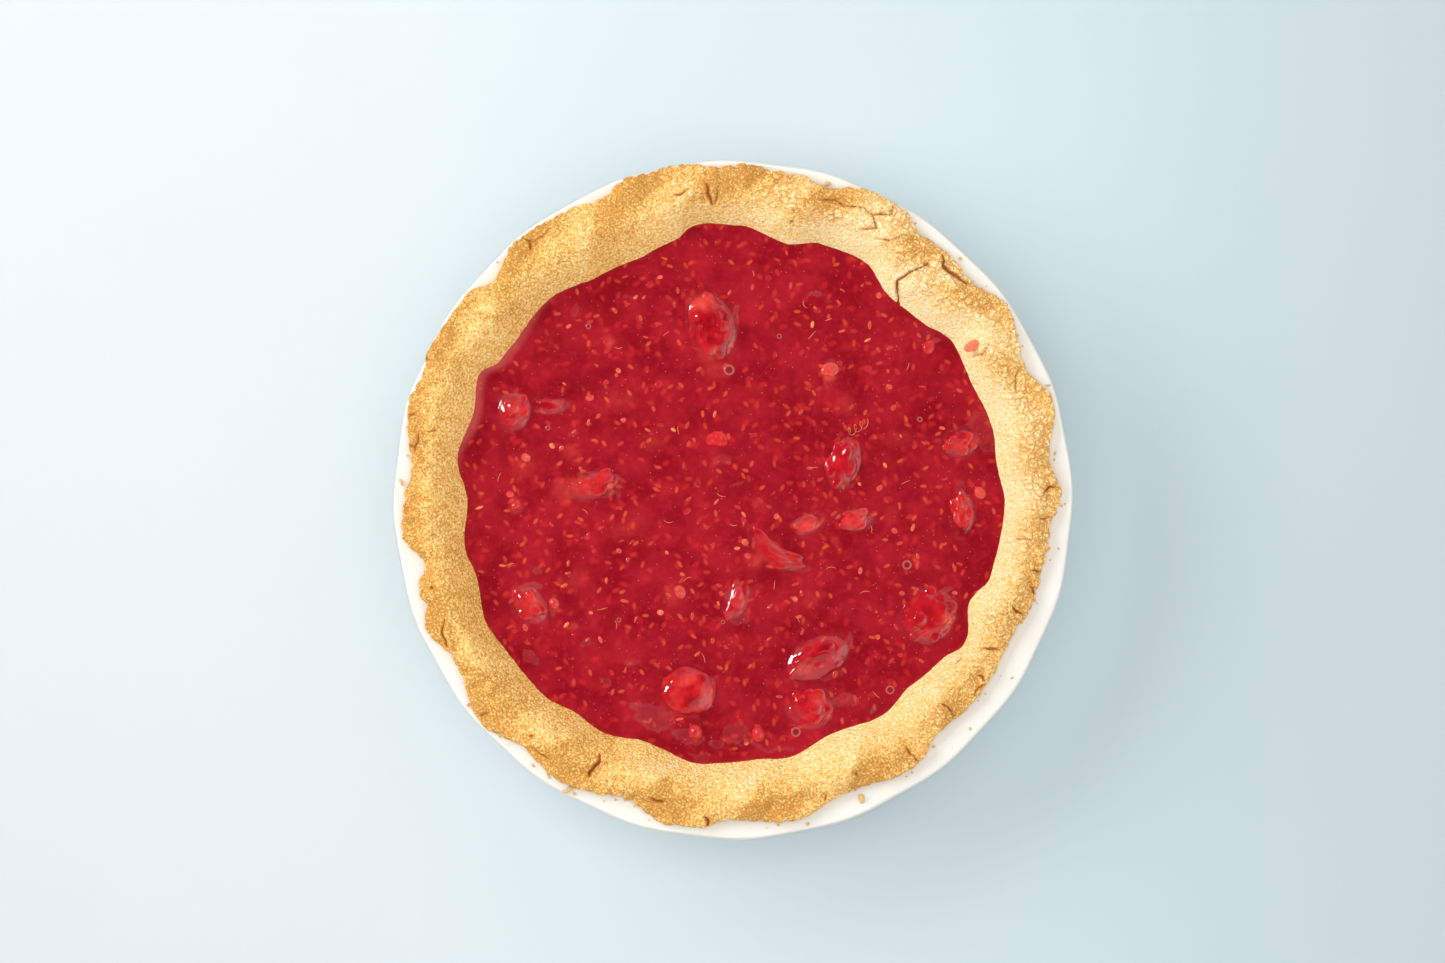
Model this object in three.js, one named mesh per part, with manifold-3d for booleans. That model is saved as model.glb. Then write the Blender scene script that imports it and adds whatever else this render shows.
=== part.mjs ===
// A raspberry pie in its own dish: a shallow scalloped dish of white stoneware, a hand-pressed pastry case
// whose rim stands over the dish's lip, a filling of set raspberry gel, and whole and broken berries in it.
// Millimetres, +Z up. The origin is the centre of the dish's foot, on the table.

import * as THREE from 'three';
import { mergeVertices } from 'three/addons/utils/BufferGeometryUtils.js';
import Module from 'manifold-3d';

const wasm = await Module();
wasm.setup();

const { PI, sin, cos, sqrt, abs, exp, floor, min, max, hypot } = Math;
const { degToRad, radToDeg, lerp, smoothstep, clamp } = THREE.MathUtils;

// Clearance between pieces that touch.
const gap = 0.3;
const flangeGap = 0.35;

// The dish. Each section is one ring of its outline: radius, height, and how much of the scallop it takes.
const scallopCount = 20;
const scallopStart = degToRad(2);
const scallopReach = 0.55;
const scallopLift = 0.35;
const dishFineSteps = 120;
const dishCoarseSteps = 60;
const dishOutside = [
  { radius: 78, height: 1.6, scallop: 0, steps: dishCoarseSteps },
  { radius: 80.5, height: 0, scallop: 0, steps: dishCoarseSteps },
  { radius: 87, height: 0, scallop: 0, steps: dishCoarseSteps },
  { radius: 91, height: 3.5, scallop: 0, steps: dishCoarseSteps },
  { radius: 118, height: 36.2, scallop: 0.5, steps: dishCoarseSteps },
  { radius: 126.8, height: 38.9, scallop: 1, steps: dishFineSteps },
  { radius: 128.1, height: 40.2, scallop: 1, steps: dishFineSteps },
];
const dishInside = [
  { radius: 127.3, height: 41.7, scallop: 1, steps: dishFineSteps },
  { radius: 114.5, height: 39.9, scallop: 0.5, steps: dishFineSteps },
  { radius: 112.2, height: 37, scallop: 0.2, steps: dishFineSteps },
  { radius: 92, height: 7.5, scallop: 0, steps: dishCoarseSteps },
  { radius: 87, height: 5, scallop: 0, steps: dishCoarseSteps },
];

// The pastry. Its outer edge and the line where the gel meets it are uneven, as a thumb left them:
// each pair is an angle in degrees and the radius there, at the places where the line turns.
const crustEdge = [
  [1, 123.7], [7, 120.4], [17.5, 126.2], [24.5, 120.8], [35.5, 126.7], [42.5, 122], [51, 123.2],
  [54.5, 122.4], [60, 127.2], [66, 128], [74, 123.2], [78, 125.7], [81, 125], [87, 127.2],
  [92, 125.2], [98.5, 128], [108, 127.6], [114, 123.6], [119, 125.9], [130, 127.5], [137.5, 122.5],
  [142, 126.8], [154, 128], [158, 126], [162, 128], [174.5, 122.4], [180, 124], [186, 125.4],
  [192, 118.8], [196, 123.4], [199, 122.4], [202.5, 125.6], [210, 121.2], [222, 126.9], [230, 122.4],
  [238, 124.6], [243, 123.4], [250, 119.8], [258, 124.6], [264, 124.2], [270, 120.8], [281, 123],
  [291, 118.4], [304, 121.6], [312, 117.1], [320, 118.6], [334, 117.4], [341, 119.3], [354, 119.9],
];
const gelEdge = [
  [0, 103.1], [8, 101], [15, 102], [26, 100.7], [36, 102.5], [44, 97.9], [52, 97.2], [62, 103.2],
  [71, 102.8], [78, 99.2], [89, 104.1], [97, 105.7], [104, 100.2], [111, 98.1], [120, 98.8],
  [134, 103.3], [143, 102.2], [149, 103], [153.5, 107.4], [162, 103.6], [171, 105.8], [180, 100.8],
  [191, 103.2], [196, 101.4], [207, 104.6], [216, 103], [226, 103.2], [234, 100.4], [240, 101.1],
  [251, 97.4], [262, 100.7], [275, 98.8], [282, 99.9], [293, 96.1], [306, 99.4], [312, 97.6],
  [322, 99.2], [328, 103.4], [337, 97.6], [343, 101.8],
];

// Fluting: pinched ridges run inward from where the edge draws in, slanting, with pressed hollows between.
const ridgeAngles = [7, 25, 43, 55, 74, 93, 114, 137, 157, 175, 192, 210, 230, 250, 270, 291, 312, 334, 352];
const hollowAngles = [0, 17, 35, 48, 66, 84, 103, 126, 147, 165, 184, 202, 221, 240, 260, 281, 303, 322, 343];
const ridgeWidth = 5.5;
const ridgeSlant = 9;
const ridgeRise = 2.1;
const hollowWidth = 5;
const hollowDepth = 1.1;
const hollowAt = { across: 0.22, halfLength: 0.24 };
const crestHeight = 45;
const crestAt = 0.4;
const innerSlopePower = 1.5;
const crustEdgeDrop = 3;
const edgeUndercut = { inward: 0.8, up: 0.1 };
const edgeLip = 1.4;
const restInnerShare = 0.65;
const crustVisibleSteps = 240;
const crustBaseTop = 10;
const crustFloorRise = 1.5;
const crustFloorRadius = 84.5;
const cragSize = 3.4;
const cragHeight = 0.5;

// Cracks and notches in the rim: angle in degrees, where each starts and ends between the outer edge (0) and
// the gel (1), its depth and its half width in degrees.
const crustCracks = [
  { angle: 2, from: 0.05, to: 0.45, depth: 1.3, width: 1.6 },
  { angle: 31, from: 0.35, to: 0.7, depth: 0.9, width: 1.6 },
  { angle: 46.5, from: 0, to: 0.25, depth: 1.9, width: 2.2 },
  { angle: 51, from: 0.25, to: 1, depth: 1.9, width: 1.6 },
  { angle: 95, from: 0.1, to: 0.55, depth: 1.2, width: 1.6 },
  { angle: 129, from: 0, to: 0.2, depth: 1.3, width: 1.6 },
  { angle: 170, from: 0, to: 0.25, depth: 1.6, width: 2 },
  { angle: 195, from: 0, to: 0.25, depth: 1.2, width: 1.6 },
  { angle: 242, from: 0.35, to: 0.75, depth: 1.2, width: 1.6 },
  { angle: 270, from: 0, to: 0.2, depth: 1.3, width: 1.8 },
  { angle: 305, from: 0.1, to: 0.4, depth: 1.3, width: 1.6 },
  { angle: 315.5, from: 0.05, to: 0.55, depth: 1.5, width: 1.6 },
  { angle: 324.5, from: 0.2, to: 0.7, depth: 1.4, width: 1.6 },
  { angle: 338.5, from: 0.2, to: 0.55, depth: 1.4, width: 1.6 },
];

// The gel's level, the slope of the pastry under it, and the slow swell of its surface.
const gelLevel = 33;
const slopeStep = { inward: 7, down: 8.5 };
const gelSideGap = 0.45;
const gelFloorGap = 0.15;
const gelSwell = 0.35;
const gelSwellSize = 34;
const gelLevelBand = { from: 80, to: 97 };
const gelLineSteps = 120;
const gelRings = [
  { share: 1, steps: gelLineSteps },
  { share: 0.9, steps: 60 },
  { share: 0.65, steps: 36 },
  { share: 0.35, steps: 18 },
];

// The berries: place of the middle, half length and half width, how far each stands over the gel and
// reaches into it, its turn in degrees, how far its ends curl sideways, and how far its drupelets swell, as
// a share of its size. The shortest ones have fewer faces.
const pocketGap = 0.35;
const shortBerry = 7.3;
const drupeletsPerBerry = 14;
const drupeletSpread = degToRad(31);
const berries = {
  berry_round: { at: [-16.8, -72.6], half: [10.9, 9.5], over: 4, under: 5.6, turn: 0, lumps: 0.05 },
  berry_broken: {
    at: [-8, 66.4], half: [13.2, 8.6], over: 3.2, under: 5,
    turn: 108, bend: 0.8, lumps: 0.2,
  },
  berry_rough: { at: [74.6, -44], half: [11.4, 9.6], over: 3, under: 4.6, turn: 48, lumps: 0.2 },
  berry_tailed: {
    at: [32, -60.2], half: [12.8, 7.4], over: 3.4, under: 5,
    turn: 28, bend: -1.6, lumps: 0.2,
  },
  berry_sunk: { at: [29.6, -79.4], half: [9, 8.2], over: 2.4, under: 5, turn: 10, lumps: 0.12 },
  berry_tall: {
    at: [42, 14.2], half: [10.6, 6.4], over: 3, under: 5,
    turn: 72, bend: 1, lumps: 0.18,
  },
  berry_curled: {
    at: [16, -20.6], half: [12.4, 4.8], over: 2.4, under: 4.2,
    turn: -32, bend: 4, lumps: 0.16,
  },
  berry_thin: {
    at: [1.6, -38], half: [8.6, 4.6], over: 1.7, under: 4,
    turn: 70, bend: 1, lumps: 0.14,
  },
  berry_low: {
    at: [-52.4, 6.1], half: [10, 5.4], over: 1.9, under: 4.4,
    turn: 18, bend: 1, lumps: 0.14,
  },
  berry_left: { at: [-83, 33.8], half: [7.4, 6], over: 2.6, under: 4.2, turn: 80, lumps: 0.18 },
  berry_strip: {
    at: [-69.6, 35.6], half: [6.4, 2.9], over: 1.4, under: 2.6,
    turn: -6, bend: 0.5, lumps: 0.1,
  },
  berry_lower_left: {
    at: [-77.2, -39.8], half: [8.2, 6], over: 2.8, under: 4.4,
    turn: -52, bend: 0.8, lumps: 0.18,
  },
  berry_pair_small: {
    at: [27.7, -9.4], half: [6.3, 3.8], over: 1.8, under: 3.4,
    turn: 22, lumps: 0.12,
  },
  berry_pair_large: {
    at: [46.6, -7.6], half: [7, 4.4], over: 1.8, under: 3.6,
    turn: 16, bend: 0.6, lumps: 0.12,
  },
  berry_right: { at: [86.4, 21.4], half: [7.2, 5.2], over: 1.7, under: 3.4, turn: 14, lumps: 0.14 },
  berry_cluster: {
    at: [86.8, -4], half: [9.4, 4.6], over: 2, under: 3.6,
    turn: 98, bend: 0.8, lumps: 0.2,
  },
};

// Single drupelets and scraps of pulp that are one with the gel: place, radius, and height over the gel.
const looseDrupelets = [
  [-78.7, 16, 2.3, 1.1], [-82.5, -1.9, 2.6, 1.2], [-14.3, -88.2, 4, 1.5], [9.5, -89, 4.4, 1.6],
  [36.9, 49.4, 4.8, 1], [74.4, 58.2, 3.8, 1], [93.9, 2.7, 3, 1.2], [-20.1, -35, 3.2, 1.2],
  [-5.9, 22.4, 7.2, 0.7], [-68, -39.4, 2.8, 1.2],
];

const looseDrupeletWidth = 0.85;
const looseDrupeletDepth = 3.2;
const looseDrupeletTurn = 30;
const smoothDrupelet = 3;

// One drupelet that fell on the slope of the pastry.
const strayDrupelet = { angle: 32.8, across: 0.76, long: 2.9, wide: 2, high: 1.5, turn: 60, over: 0.3 };

const dishColour = 0xeef0ee;
const crustColour = 0xe0b676;
const gelColour = 0xa81522;
const berryColour = 0xc0202c;

// Numbers in 0 to 1 that are the same on every run, from the mulberry32 rule.
function seededRandom(seed) {
  let state = seed;
  return () => {
    state = (state + 0x6d2b79f5) | 0;
    let mixed = Math.imul(state ^ (state >>> 15), 1 | state);
    mixed = (mixed + Math.imul(mixed ^ (mixed >>> 7), 61 | mixed)) ^ mixed;
    return ((mixed ^ (mixed >>> 14)) >>> 0) / 4294967296;
  };
}

// Smooth noise from -1 to 1 on a lattice of random values that closes on itself in both directions.
function latticeNoise(seed, columns, rows) {
  const random = seededRandom(seed);
  const lattice = Array.from({ length: columns * rows }, () => 2 * random() - 1);
  const wrap = (k, count) => ((k % count) + count) % count;
  const at = (i, j) => lattice[wrap(j, rows) * columns + wrap(i, columns)];
  return (u, v) => {
    const i = floor(u);
    const j = floor(v);
    const across = smoothstep(u - i, 0, 1);
    const up = smoothstep(v - j, 0, 1);
    return lerp(lerp(at(i, j), at(i + 1, j), across), lerp(at(i, j + 1), at(i + 1, j + 1), across), up);
  };
}

// The radius of an uneven outline, eased from each [degrees, radius] pair to the next.
function easedOutline(pairs) {
  return (angle) => {
    const degrees = ((radToDeg(angle) % 360) + 360) % 360;
    let next = pairs.findIndex((pair) => pair[0] > degrees);
    if (next < 0) next = 0;
    const [startAngle, startRadius] = pairs[(next + pairs.length - 1) % pairs.length];
    const [endAngle, endRadius] = pairs[next];
    const span = (endAngle - startAngle + 360) % 360;
    const along = ((degrees - startAngle + 360) % 360) / span;
    return lerp(startRadius, endRadius, smoothstep(along, 0, 1));
  };
}

// The signed difference of two angles in degrees, from -180 to 180.
function turnBetween(first, second) {
  return ((((first - second) % 360) + 540) % 360) - 180;
}

// A ring of points round the Z axis; section gives the radius and height at an angle.
function ring(steps, section) {
  const points = [];
  for (let i = 0; i < steps; i += 1) {
    const angle = (i / steps) * 2 * PI;
    const [radius, height] = section(angle);
    points.push(new THREE.Vector3(radius * cos(angle), radius * sin(angle), height));
  }
  return points;
}

// Triangles between two rings, which may have different numbers of points: each next triangle takes the
// shorter way across, so two surfaces a gap apart are split alike.
function stitchRings(triangles, points, firstStart, firstCount, secondStart, secondCount) {
  let i = 0;
  let j = 0;
  while (i < firstCount || j < secondCount) {
    const first = firstStart + (i % firstCount);
    const second = secondStart + (j % secondCount);
    const nextFirst = firstStart + ((i + 1) % firstCount);
    const nextSecond = secondStart + ((j + 1) % secondCount);
    const acrossFromNextFirst = points[nextFirst].distanceTo(points[second]);
    const acrossFromNextSecond = points[first].distanceTo(points[nextSecond]);
    if (j === secondCount || (i < firstCount && acrossFromNextFirst <= acrossFromNextSecond)) {
      triangles.push(first, nextFirst, second);
      i += 1;
    } else {
      triangles.push(first, nextSecond, second);
      j += 1;
    }
  }
}

// A closed body: rings from the underside, up the outside and down the inside, with a point on the axis
// at each end.
function bodyOfRings(rings, firstCentreHeight, lastCentreHeight) {
  const points = [new THREE.Vector3(0, 0, firstCentreHeight)];
  const starts = [];
  for (const ringPoints of rings) {
    starts.push(points.length);
    points.push(...ringPoints);
  }
  const lastCentre = points.length;
  points.push(new THREE.Vector3(0, 0, lastCentreHeight));

  const triangles = [];
  const firstRing = rings[0];
  for (let i = 0; i < firstRing.length; i += 1) {
    triangles.push(0, starts[0] + ((i + 1) % firstRing.length), starts[0] + i);
  }
  for (let k = 0; k + 1 < rings.length; k += 1) {
    stitchRings(triangles, points, starts[k], rings[k].length, starts[k + 1], rings[k + 1].length);
  }
  const lastRing = rings[rings.length - 1];
  const lastStart = starts[rings.length - 1];
  for (let i = 0; i < lastRing.length; i += 1) {
    triangles.push(lastCentre, lastStart + i, lastStart + ((i + 1) % lastRing.length));
  }

  const geometry = new THREE.BufferGeometry().setFromPoints(points);
  geometry.setIndex(triangles);
  return geometry;
}

// A manifold-3d solid from a closed geometry, and a geometry back from a solid.
function toSolid(geometry) {
  const bare = geometry.clone();
  bare.deleteAttribute('normal');
  bare.deleteAttribute('uv');
  const merged = mergeVertices(bare, 1e-4);
  return new wasm.Manifold(new wasm.Mesh({
    numProp: 3,
    vertProperties: new Float32Array(merged.attributes.position.array),
    triVerts: new Uint32Array(merged.index.array),
  }));
}

function toGeometry(solid) {
  const mesh = solid.getMesh();
  const geometry = new THREE.BufferGeometry();
  geometry.setAttribute('position', new THREE.BufferAttribute(mesh.vertProperties, 3));
  geometry.setIndex(new THREE.BufferAttribute(mesh.triVerts, 1));
  return geometry;
}

// How far the scallops of the rim stand out at an angle, from -1 to 1.
function scallopAt(angle) {
  return cos(scallopCount * (angle - scallopStart));
}

function dishRing(section) {
  return ring(section.steps, (angle) => {
    const wave = section.scallop * scallopAt(angle);
    return [section.radius + scallopReach * wave, section.height + scallopLift * wave];
  });
}

function dishGeometry() {
  const rings = [...dishOutside, ...dishInside].map(dishRing);
  return bodyOfRings(rings, dishOutside[0].height, dishInside[dishInside.length - 1].height);
}

const crustEdgeRadius = easedOutline(crustEdge);
const gelEdgeRadius = easedOutline(gelEdge);
const cragColumns = 210;
const cragNoise = latticeNoise(7, cragColumns, 40);
const fineCragNoise = latticeNoise(19, 2 * cragColumns, 80);

// The height of the dish's flange under a point, just above its surface.
function flangeHeight(radius, angle) {
  const [lip, foot] = dishInside;
  const slope = (lip.height - foot.height) / (lip.radius - foot.radius);
  const along = (radius - foot.radius) / (lip.radius - foot.radius);
  const wave = lerp(foot.scallop, lip.scallop, along) * scallopAt(angle);
  const lift = (scallopLift - scallopReach * slope) * wave;
  return foot.height + (radius - foot.radius) * slope + lift + flangeGap;
}

// The strongest of a row of soft marks round the rim, from 0 to 1. Each slants as it runs inward.
function fluteAt(angle, across, angles, width) {
  const degrees = radToDeg(angle) - ridgeSlant * across;
  return max(...angles.map((middle) => exp(-((turnBetween(degrees, middle) / width) ** 2))));
}

// How far the fluting lifts the rim over its plain crest: up along the ridges, down in the hollows.
function flutingHeight(angle, across) {
  const ridge = ridgeRise * fluteAt(angle, across, ridgeAngles, ridgeWidth);
  const middle = exp(-(((across - hollowAt.across) / hollowAt.halfLength) ** 2));
  return ridge - hollowDepth * middle * fluteAt(angle, across, hollowAngles, hollowWidth);
}

// How deep the cracks are at a place on the rim.
function crackDepth(angle, across) {
  let deepest = 0;
  for (const crack of crustCracks) {
    const side = 1 - abs(turnBetween(radToDeg(angle), crack.angle)) / crack.width;
    const started = smoothstep(across, crack.from - 0.1, crack.from);
    const ended = smoothstep(across, crack.to, crack.to + 0.1);
    deepest = max(deepest, crack.depth * max(0, side) * started * (1 - ended));
  }
  return deepest;
}

// The top of the rim, from its outer edge (across = 0), over the crest, down to the gel (across = 1).
function crustTop(angle, across) {
  const outer = crustEdgeRadius(angle);
  const inner = gelEdgeRadius(angle);
  const radius = lerp(outer, inner, across);
  const edge = flangeHeight(outer, angle) + crustEdgeDrop;
  const crest = crestHeight + flutingHeight(angle, across);
  let height;
  if (across < crestAt) {
    height = lerp(edge, crest, sin((PI / 2) * (across / crestAt)));
  } else {
    const fall = (across - crestAt) / (1 - crestAt);
    height = lerp(crest, gelLevel, fall ** innerSlopePower);
  }
  const rough = 1 - smoothstep(across, 0.55, 1);
  const around = (angle / (2 * PI)) * cragColumns;
  const out = radius / cragSize;
  const crags = cragNoise(around, out) + 0.5 * fineCragNoise(2 * around, 2 * out);
  return [radius, height + rough * cragHeight * crags - crackDepth(angle, across)];
}

// The pastry case: its underside follows the inside of the dish, its rim lies on the flange.
function crustGeometry() {
  const [lip, flangeFoot, wallTop, wallFoot, floorEdge] = dishInside;
  const offDish = (section, inward, up) => dishRing({
    ...section,
    radius: section.radius - inward,
    height: section.height + up,
  });
  const underside = [
    offDish(floorEdge, 0.1, gap),
    offDish(wallFoot, 0.25, 0.2),
    offDish(wallTop, 0.22, 0.22),
    offDish(flangeFoot, 0.15, gap),
  ];
  const restInner = ring(lip.steps, (angle) => {
    const radius = lerp(flangeFoot.radius, crustEdgeRadius(angle), restInnerShare);
    return [radius, flangeHeight(radius, angle)];
  });
  const edgeRing = (inward, up) => ring(crustVisibleSteps, (angle) => {
    const outer = crustEdgeRadius(angle);
    return [outer - inward, flangeHeight(outer - inward, angle) + up];
  });
  const acrossSteps = [0.05, 0.16, 0.28, 0.4, 0.57, 0.78];
  const top = acrossSteps.map((across) => ring(crustVisibleSteps, (angle) => crustTop(angle, across)));
  const inside = [
    ring(gelLineSteps, (angle) => crustTop(angle, 1)),
    ring(gelLineSteps, (angle) => [gelEdgeRadius(angle) - slopeStep.inward, gelLevel - slopeStep.down]),
    ring(dishCoarseSteps, () => [crustFloorRadius, crustBaseTop + crustFloorRise]),
  ];
  const edge = [edgeRing(edgeUndercut.inward, edgeUndercut.up), edgeRing(0, edgeLip)];
  const rings = [...underside, restInner, ...edge, ...top, ...inside];
  return bodyOfRings(rings, floorEdge.height + gap, crustBaseTop);
}

// A low ellipsoid drupelet, placed and turned; a small one has fewer faces.
function drupeletGeometry(place, long, wide, high, turn) {
  const geometry = new THREE.IcosahedronGeometry(1, long > smoothDrupelet ? 1 : 0);
  geometry.scale(long, wide, high);
  geometry.rotateZ(degToRad(turn));
  geometry.translate(place.x, place.y, place.z);
  return geometry;
}

// The pastry with the stray drupelet grown into its slope.
function crustSolid() {
  const angle = degToRad(strayDrupelet.angle);
  const [radius, height] = crustTop(angle, strayDrupelet.across);
  const { long, wide, high, turn, over } = strayDrupelet;
  const place = new THREE.Vector3(radius * cos(angle), radius * sin(angle), height + over);
  return toSolid(crustGeometry()).add(toSolid(drupeletGeometry(place, long, wide, high, turn)));
}

const swellCells = 12;
const swellNoise = latticeNoise(31, swellCells, swellCells);

// The gel's level at a place, with its slow swell.
function gelHeight(x, y) {
  const edgeFade = 1 - smoothstep(hypot(x, y), gelLevelBand.from, gelLevelBand.to);
  const [column, row] = [x, y].map((place) => place / gelSwellSize + swellCells / 2);
  return gelLevel + gelSwell * edgeFade * swellNoise(column, row);
}

// The gel: its sides stand a gap off the pastry, its top swells a little.
function gelGeometry() {
  const bottom = ring(dishCoarseSteps, () => [
    crustFloorRadius - gelSideGap, crustBaseTop + crustFloorRise + gelFloorGap,
  ]);
  const side = ring(gelLineSteps, (angle) => [
    gelEdgeRadius(angle) - slopeStep.inward - gelSideGap, gelLevel - slopeStep.down,
  ]);
  const top = gelRings.map(({ share, steps }) => ring(steps, (angle) => {
    const radius = share * (gelEdgeRadius(angle) - gelSideGap);
    return [radius, gelHeight(radius * cos(angle), radius * sin(angle))];
  }));
  return bodyOfRings([bottom, side, ...top], crustBaseTop + gap, gelHeight(0, 0));
}

// Directions spread evenly over a sphere along a golden-angle spiral.
function drupeletDirections(count) {
  const golden = PI * (3 - sqrt(5));
  return Array.from({ length: count }, (_, i) => {
    const z = 1 - (2 * (i + 0.5)) / count;
    const flat = sqrt(1 - z * z);
    return new THREE.Vector3(flat * cos(golden * i), flat * sin(golden * i), z);
  });
}

// A berry: an ellipsoid whose skin swells at each drupelet, bent along its length, then placed in the gel.
// extra makes it larger all round, for the pocket it sits in.
function berryGeometry(berry, extra) {
  const { at: [middleX, middleY], half: [long, wide], bend = 0 } = berry;
  const geometry = new THREE.IcosahedronGeometry(1, long < shortBerry ? 1 : 2);
  const high = (berry.over + berry.under) / 2;
  const centres = drupeletDirections(drupeletsPerBerry);
  const between = cos(drupeletSpread);
  const position = geometry.attributes.position;
  const point = new THREE.Vector3();
  for (let i = 0; i < position.count; i += 1) {
    point.fromBufferAttribute(position, i).normalize();
    const nearest = max(...centres.map((centre) => centre.dot(point)));
    const swell = 1 + berry.lumps * (clamp((nearest - between) / (1 - between), 0, 1) - 0.5);
    const x = point.x * (swell * long + extra);
    const y = point.y * (swell * wide + extra) + bend * (x / long) ** 2;
    position.setXYZ(i, x, y, point.z * (swell * high + extra));
  }
  geometry.rotateZ(degToRad(berry.turn));
  geometry.translate(middleX, middleY, gelLevel + (berry.over - berry.under) / 2);
  return geometry;
}

// The filling: gel with the loose drupelets grown into it and a pocket round each berry.
function fillingSolid() {
  let filling = toSolid(gelGeometry());
  for (const [x, y, radius, over] of looseDrupelets) {
    const wide = radius * looseDrupeletWidth;
    const high = min(radius, looseDrupeletDepth);
    const place = new THREE.Vector3(x, y, gelHeight(x, y) + over - high);
    filling = filling.add(toSolid(drupeletGeometry(place, radius, wide, high, looseDrupeletTurn * x)));
  }
  for (const berry of Object.values(berries)) {
    filling = filling.subtract(toSolid(berryGeometry(berry, pocketGap)));
  }
  return filling;
}

function namedMesh(name, geometry, colour, roughness) {
  const material = new THREE.MeshStandardMaterial({ color: colour, roughness, metalness: 0 });
  const mesh = new THREE.Mesh(geometry, material);
  mesh.name = name;
  return mesh;
}

const pie = new THREE.Group();
pie.add(namedMesh('pie_dish', dishGeometry(), dishColour, 0.25));
pie.add(namedMesh('crust', toGeometry(crustSolid()), crustColour, 0.8));
pie.add(namedMesh('filling', toGeometry(fillingSolid()), gelColour, 0.2));
for (const [name, berry] of Object.entries(berries)) {
  pie.add(namedMesh(name, berryGeometry(berry, 0), berryColour, 0.3));
}

export default pie;
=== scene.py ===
import bpy
import numpy as np
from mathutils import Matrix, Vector


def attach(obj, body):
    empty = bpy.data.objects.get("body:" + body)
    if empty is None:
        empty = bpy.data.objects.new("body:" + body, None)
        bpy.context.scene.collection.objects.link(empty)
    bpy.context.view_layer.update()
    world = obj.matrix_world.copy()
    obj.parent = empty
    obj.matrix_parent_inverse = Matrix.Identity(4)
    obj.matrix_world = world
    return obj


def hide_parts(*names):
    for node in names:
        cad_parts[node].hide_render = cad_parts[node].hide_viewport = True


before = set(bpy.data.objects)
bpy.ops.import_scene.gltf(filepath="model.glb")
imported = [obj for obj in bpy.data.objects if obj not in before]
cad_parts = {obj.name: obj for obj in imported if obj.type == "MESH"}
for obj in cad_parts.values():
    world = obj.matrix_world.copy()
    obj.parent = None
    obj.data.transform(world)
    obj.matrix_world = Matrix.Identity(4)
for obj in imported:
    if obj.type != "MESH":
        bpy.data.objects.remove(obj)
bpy.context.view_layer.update()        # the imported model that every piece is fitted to
mm = 0.001               # shapes are worked out in millimetres and stored in metres
scene = bpy.context.scene

# Straight down on a spot just off the dish's middle.
look = {
    "over": (-4.0, 7.0),
    "height": 1330.0,
    "lens": 85.0,
    "sensor": 36.0,
    "clip": (0.05, 30.0),              # metres
}


def linked(name, data):
    made = bpy.data.objects.new(name, data)
    scene.collection.objects.link(made)
    return made


def makeCamera():
    data = bpy.data.cameras.new("camera")
    data.lens, data.sensor_width = look["lens"], look["sensor"]
    data.clip_start, data.clip_end = look["clip"]
    camera = linked("camera", data)
    camera.location = Vector((*look["over"], look["height"])) * mm
    scene.camera = camera


makeCamera()
print("camera set")


# Arrays and noise

def ease(value, low, high):            # 0 below low, 1 above high, and a soft step between
    share = np.clip((value - low) / (high - low), 0, 1)
    return share * share * (3 - 2 * share)


def fade(value, low, high):
    return 1 - ease(value, low, high)


def bell(value, width, power=2):       # 1 at 0, falling off both ways
    return np.exp(-(np.abs(value) / width) ** power)


def blendBy(share, first, second):
    return first + (second - first) * share


def cellRandom(cells, seed):           # an integer hash: one fixed number from 0 to 1 for each cell
    mixed = np.full(cells.shape[:-1], (seed * 2654435761 + 97) % 2**32, np.uint32)
    for axis in range(cells.shape[-1]):
        mixed = (mixed ^ cells[..., axis].astype(np.uint32)) * np.uint32(2246822519)
        mixed = mixed ^ (mixed >> np.uint32(15))
    mixed = mixed * np.uint32(3266489917)
    return (mixed ^ (mixed >> np.uint32(13))) / 2.0**32


def softNoise(points, size, seed):     # from -1 to 1: a random number at each lattice corner, eased between
    scaled = points / size
    cells = np.floor(scaled).astype(np.int64)
    part = ease(scaled - cells, 0, 1)
    total = np.zeros(points.shape[:-1])
    for corner in np.ndindex(*(2,) * points.shape[-1]):
        share = np.prod(np.where(np.array(corner) == 1, part, 1 - part), axis=-1)
        total += share * cellRandom(cells + np.array(corner), seed)
    return 2 * total - 1


def layeredNoise(points, size, seed, layers=3):        # soft noise with finer, weaker layers added
    total = np.zeros(points.shape[:-1])
    for layer in range(layers):
        total += softNoise(points, size / 2**layer, seed + layer) / 2**layer
    return total / (2 - 2.0 ** (1 - layers))


def uneven(points, reach, size, seed):                 # layered noise of this reach
    return reach * layeredNoise(points, size, seed)


def varying(points, usual, reach, size, seed):         # a usual value, raised and lowered by soft noise
    return usual + reach * softNoise(points, size, seed)


def jostled(points, reach, size, seed):                # pushed about in space by soft noise
    return points + reach * np.stack([softNoise(points, size, seed + k) for k in range(3)], -1)


def wandering(spots, reach, size, seed, layers=3):     # pushed about in the plane by layered noise
    drift = [layeredNoise(spots, size, start, layers) for start in (seed, seed + 4)]
    return spots + reach * np.stack(drift, -1)


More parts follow.
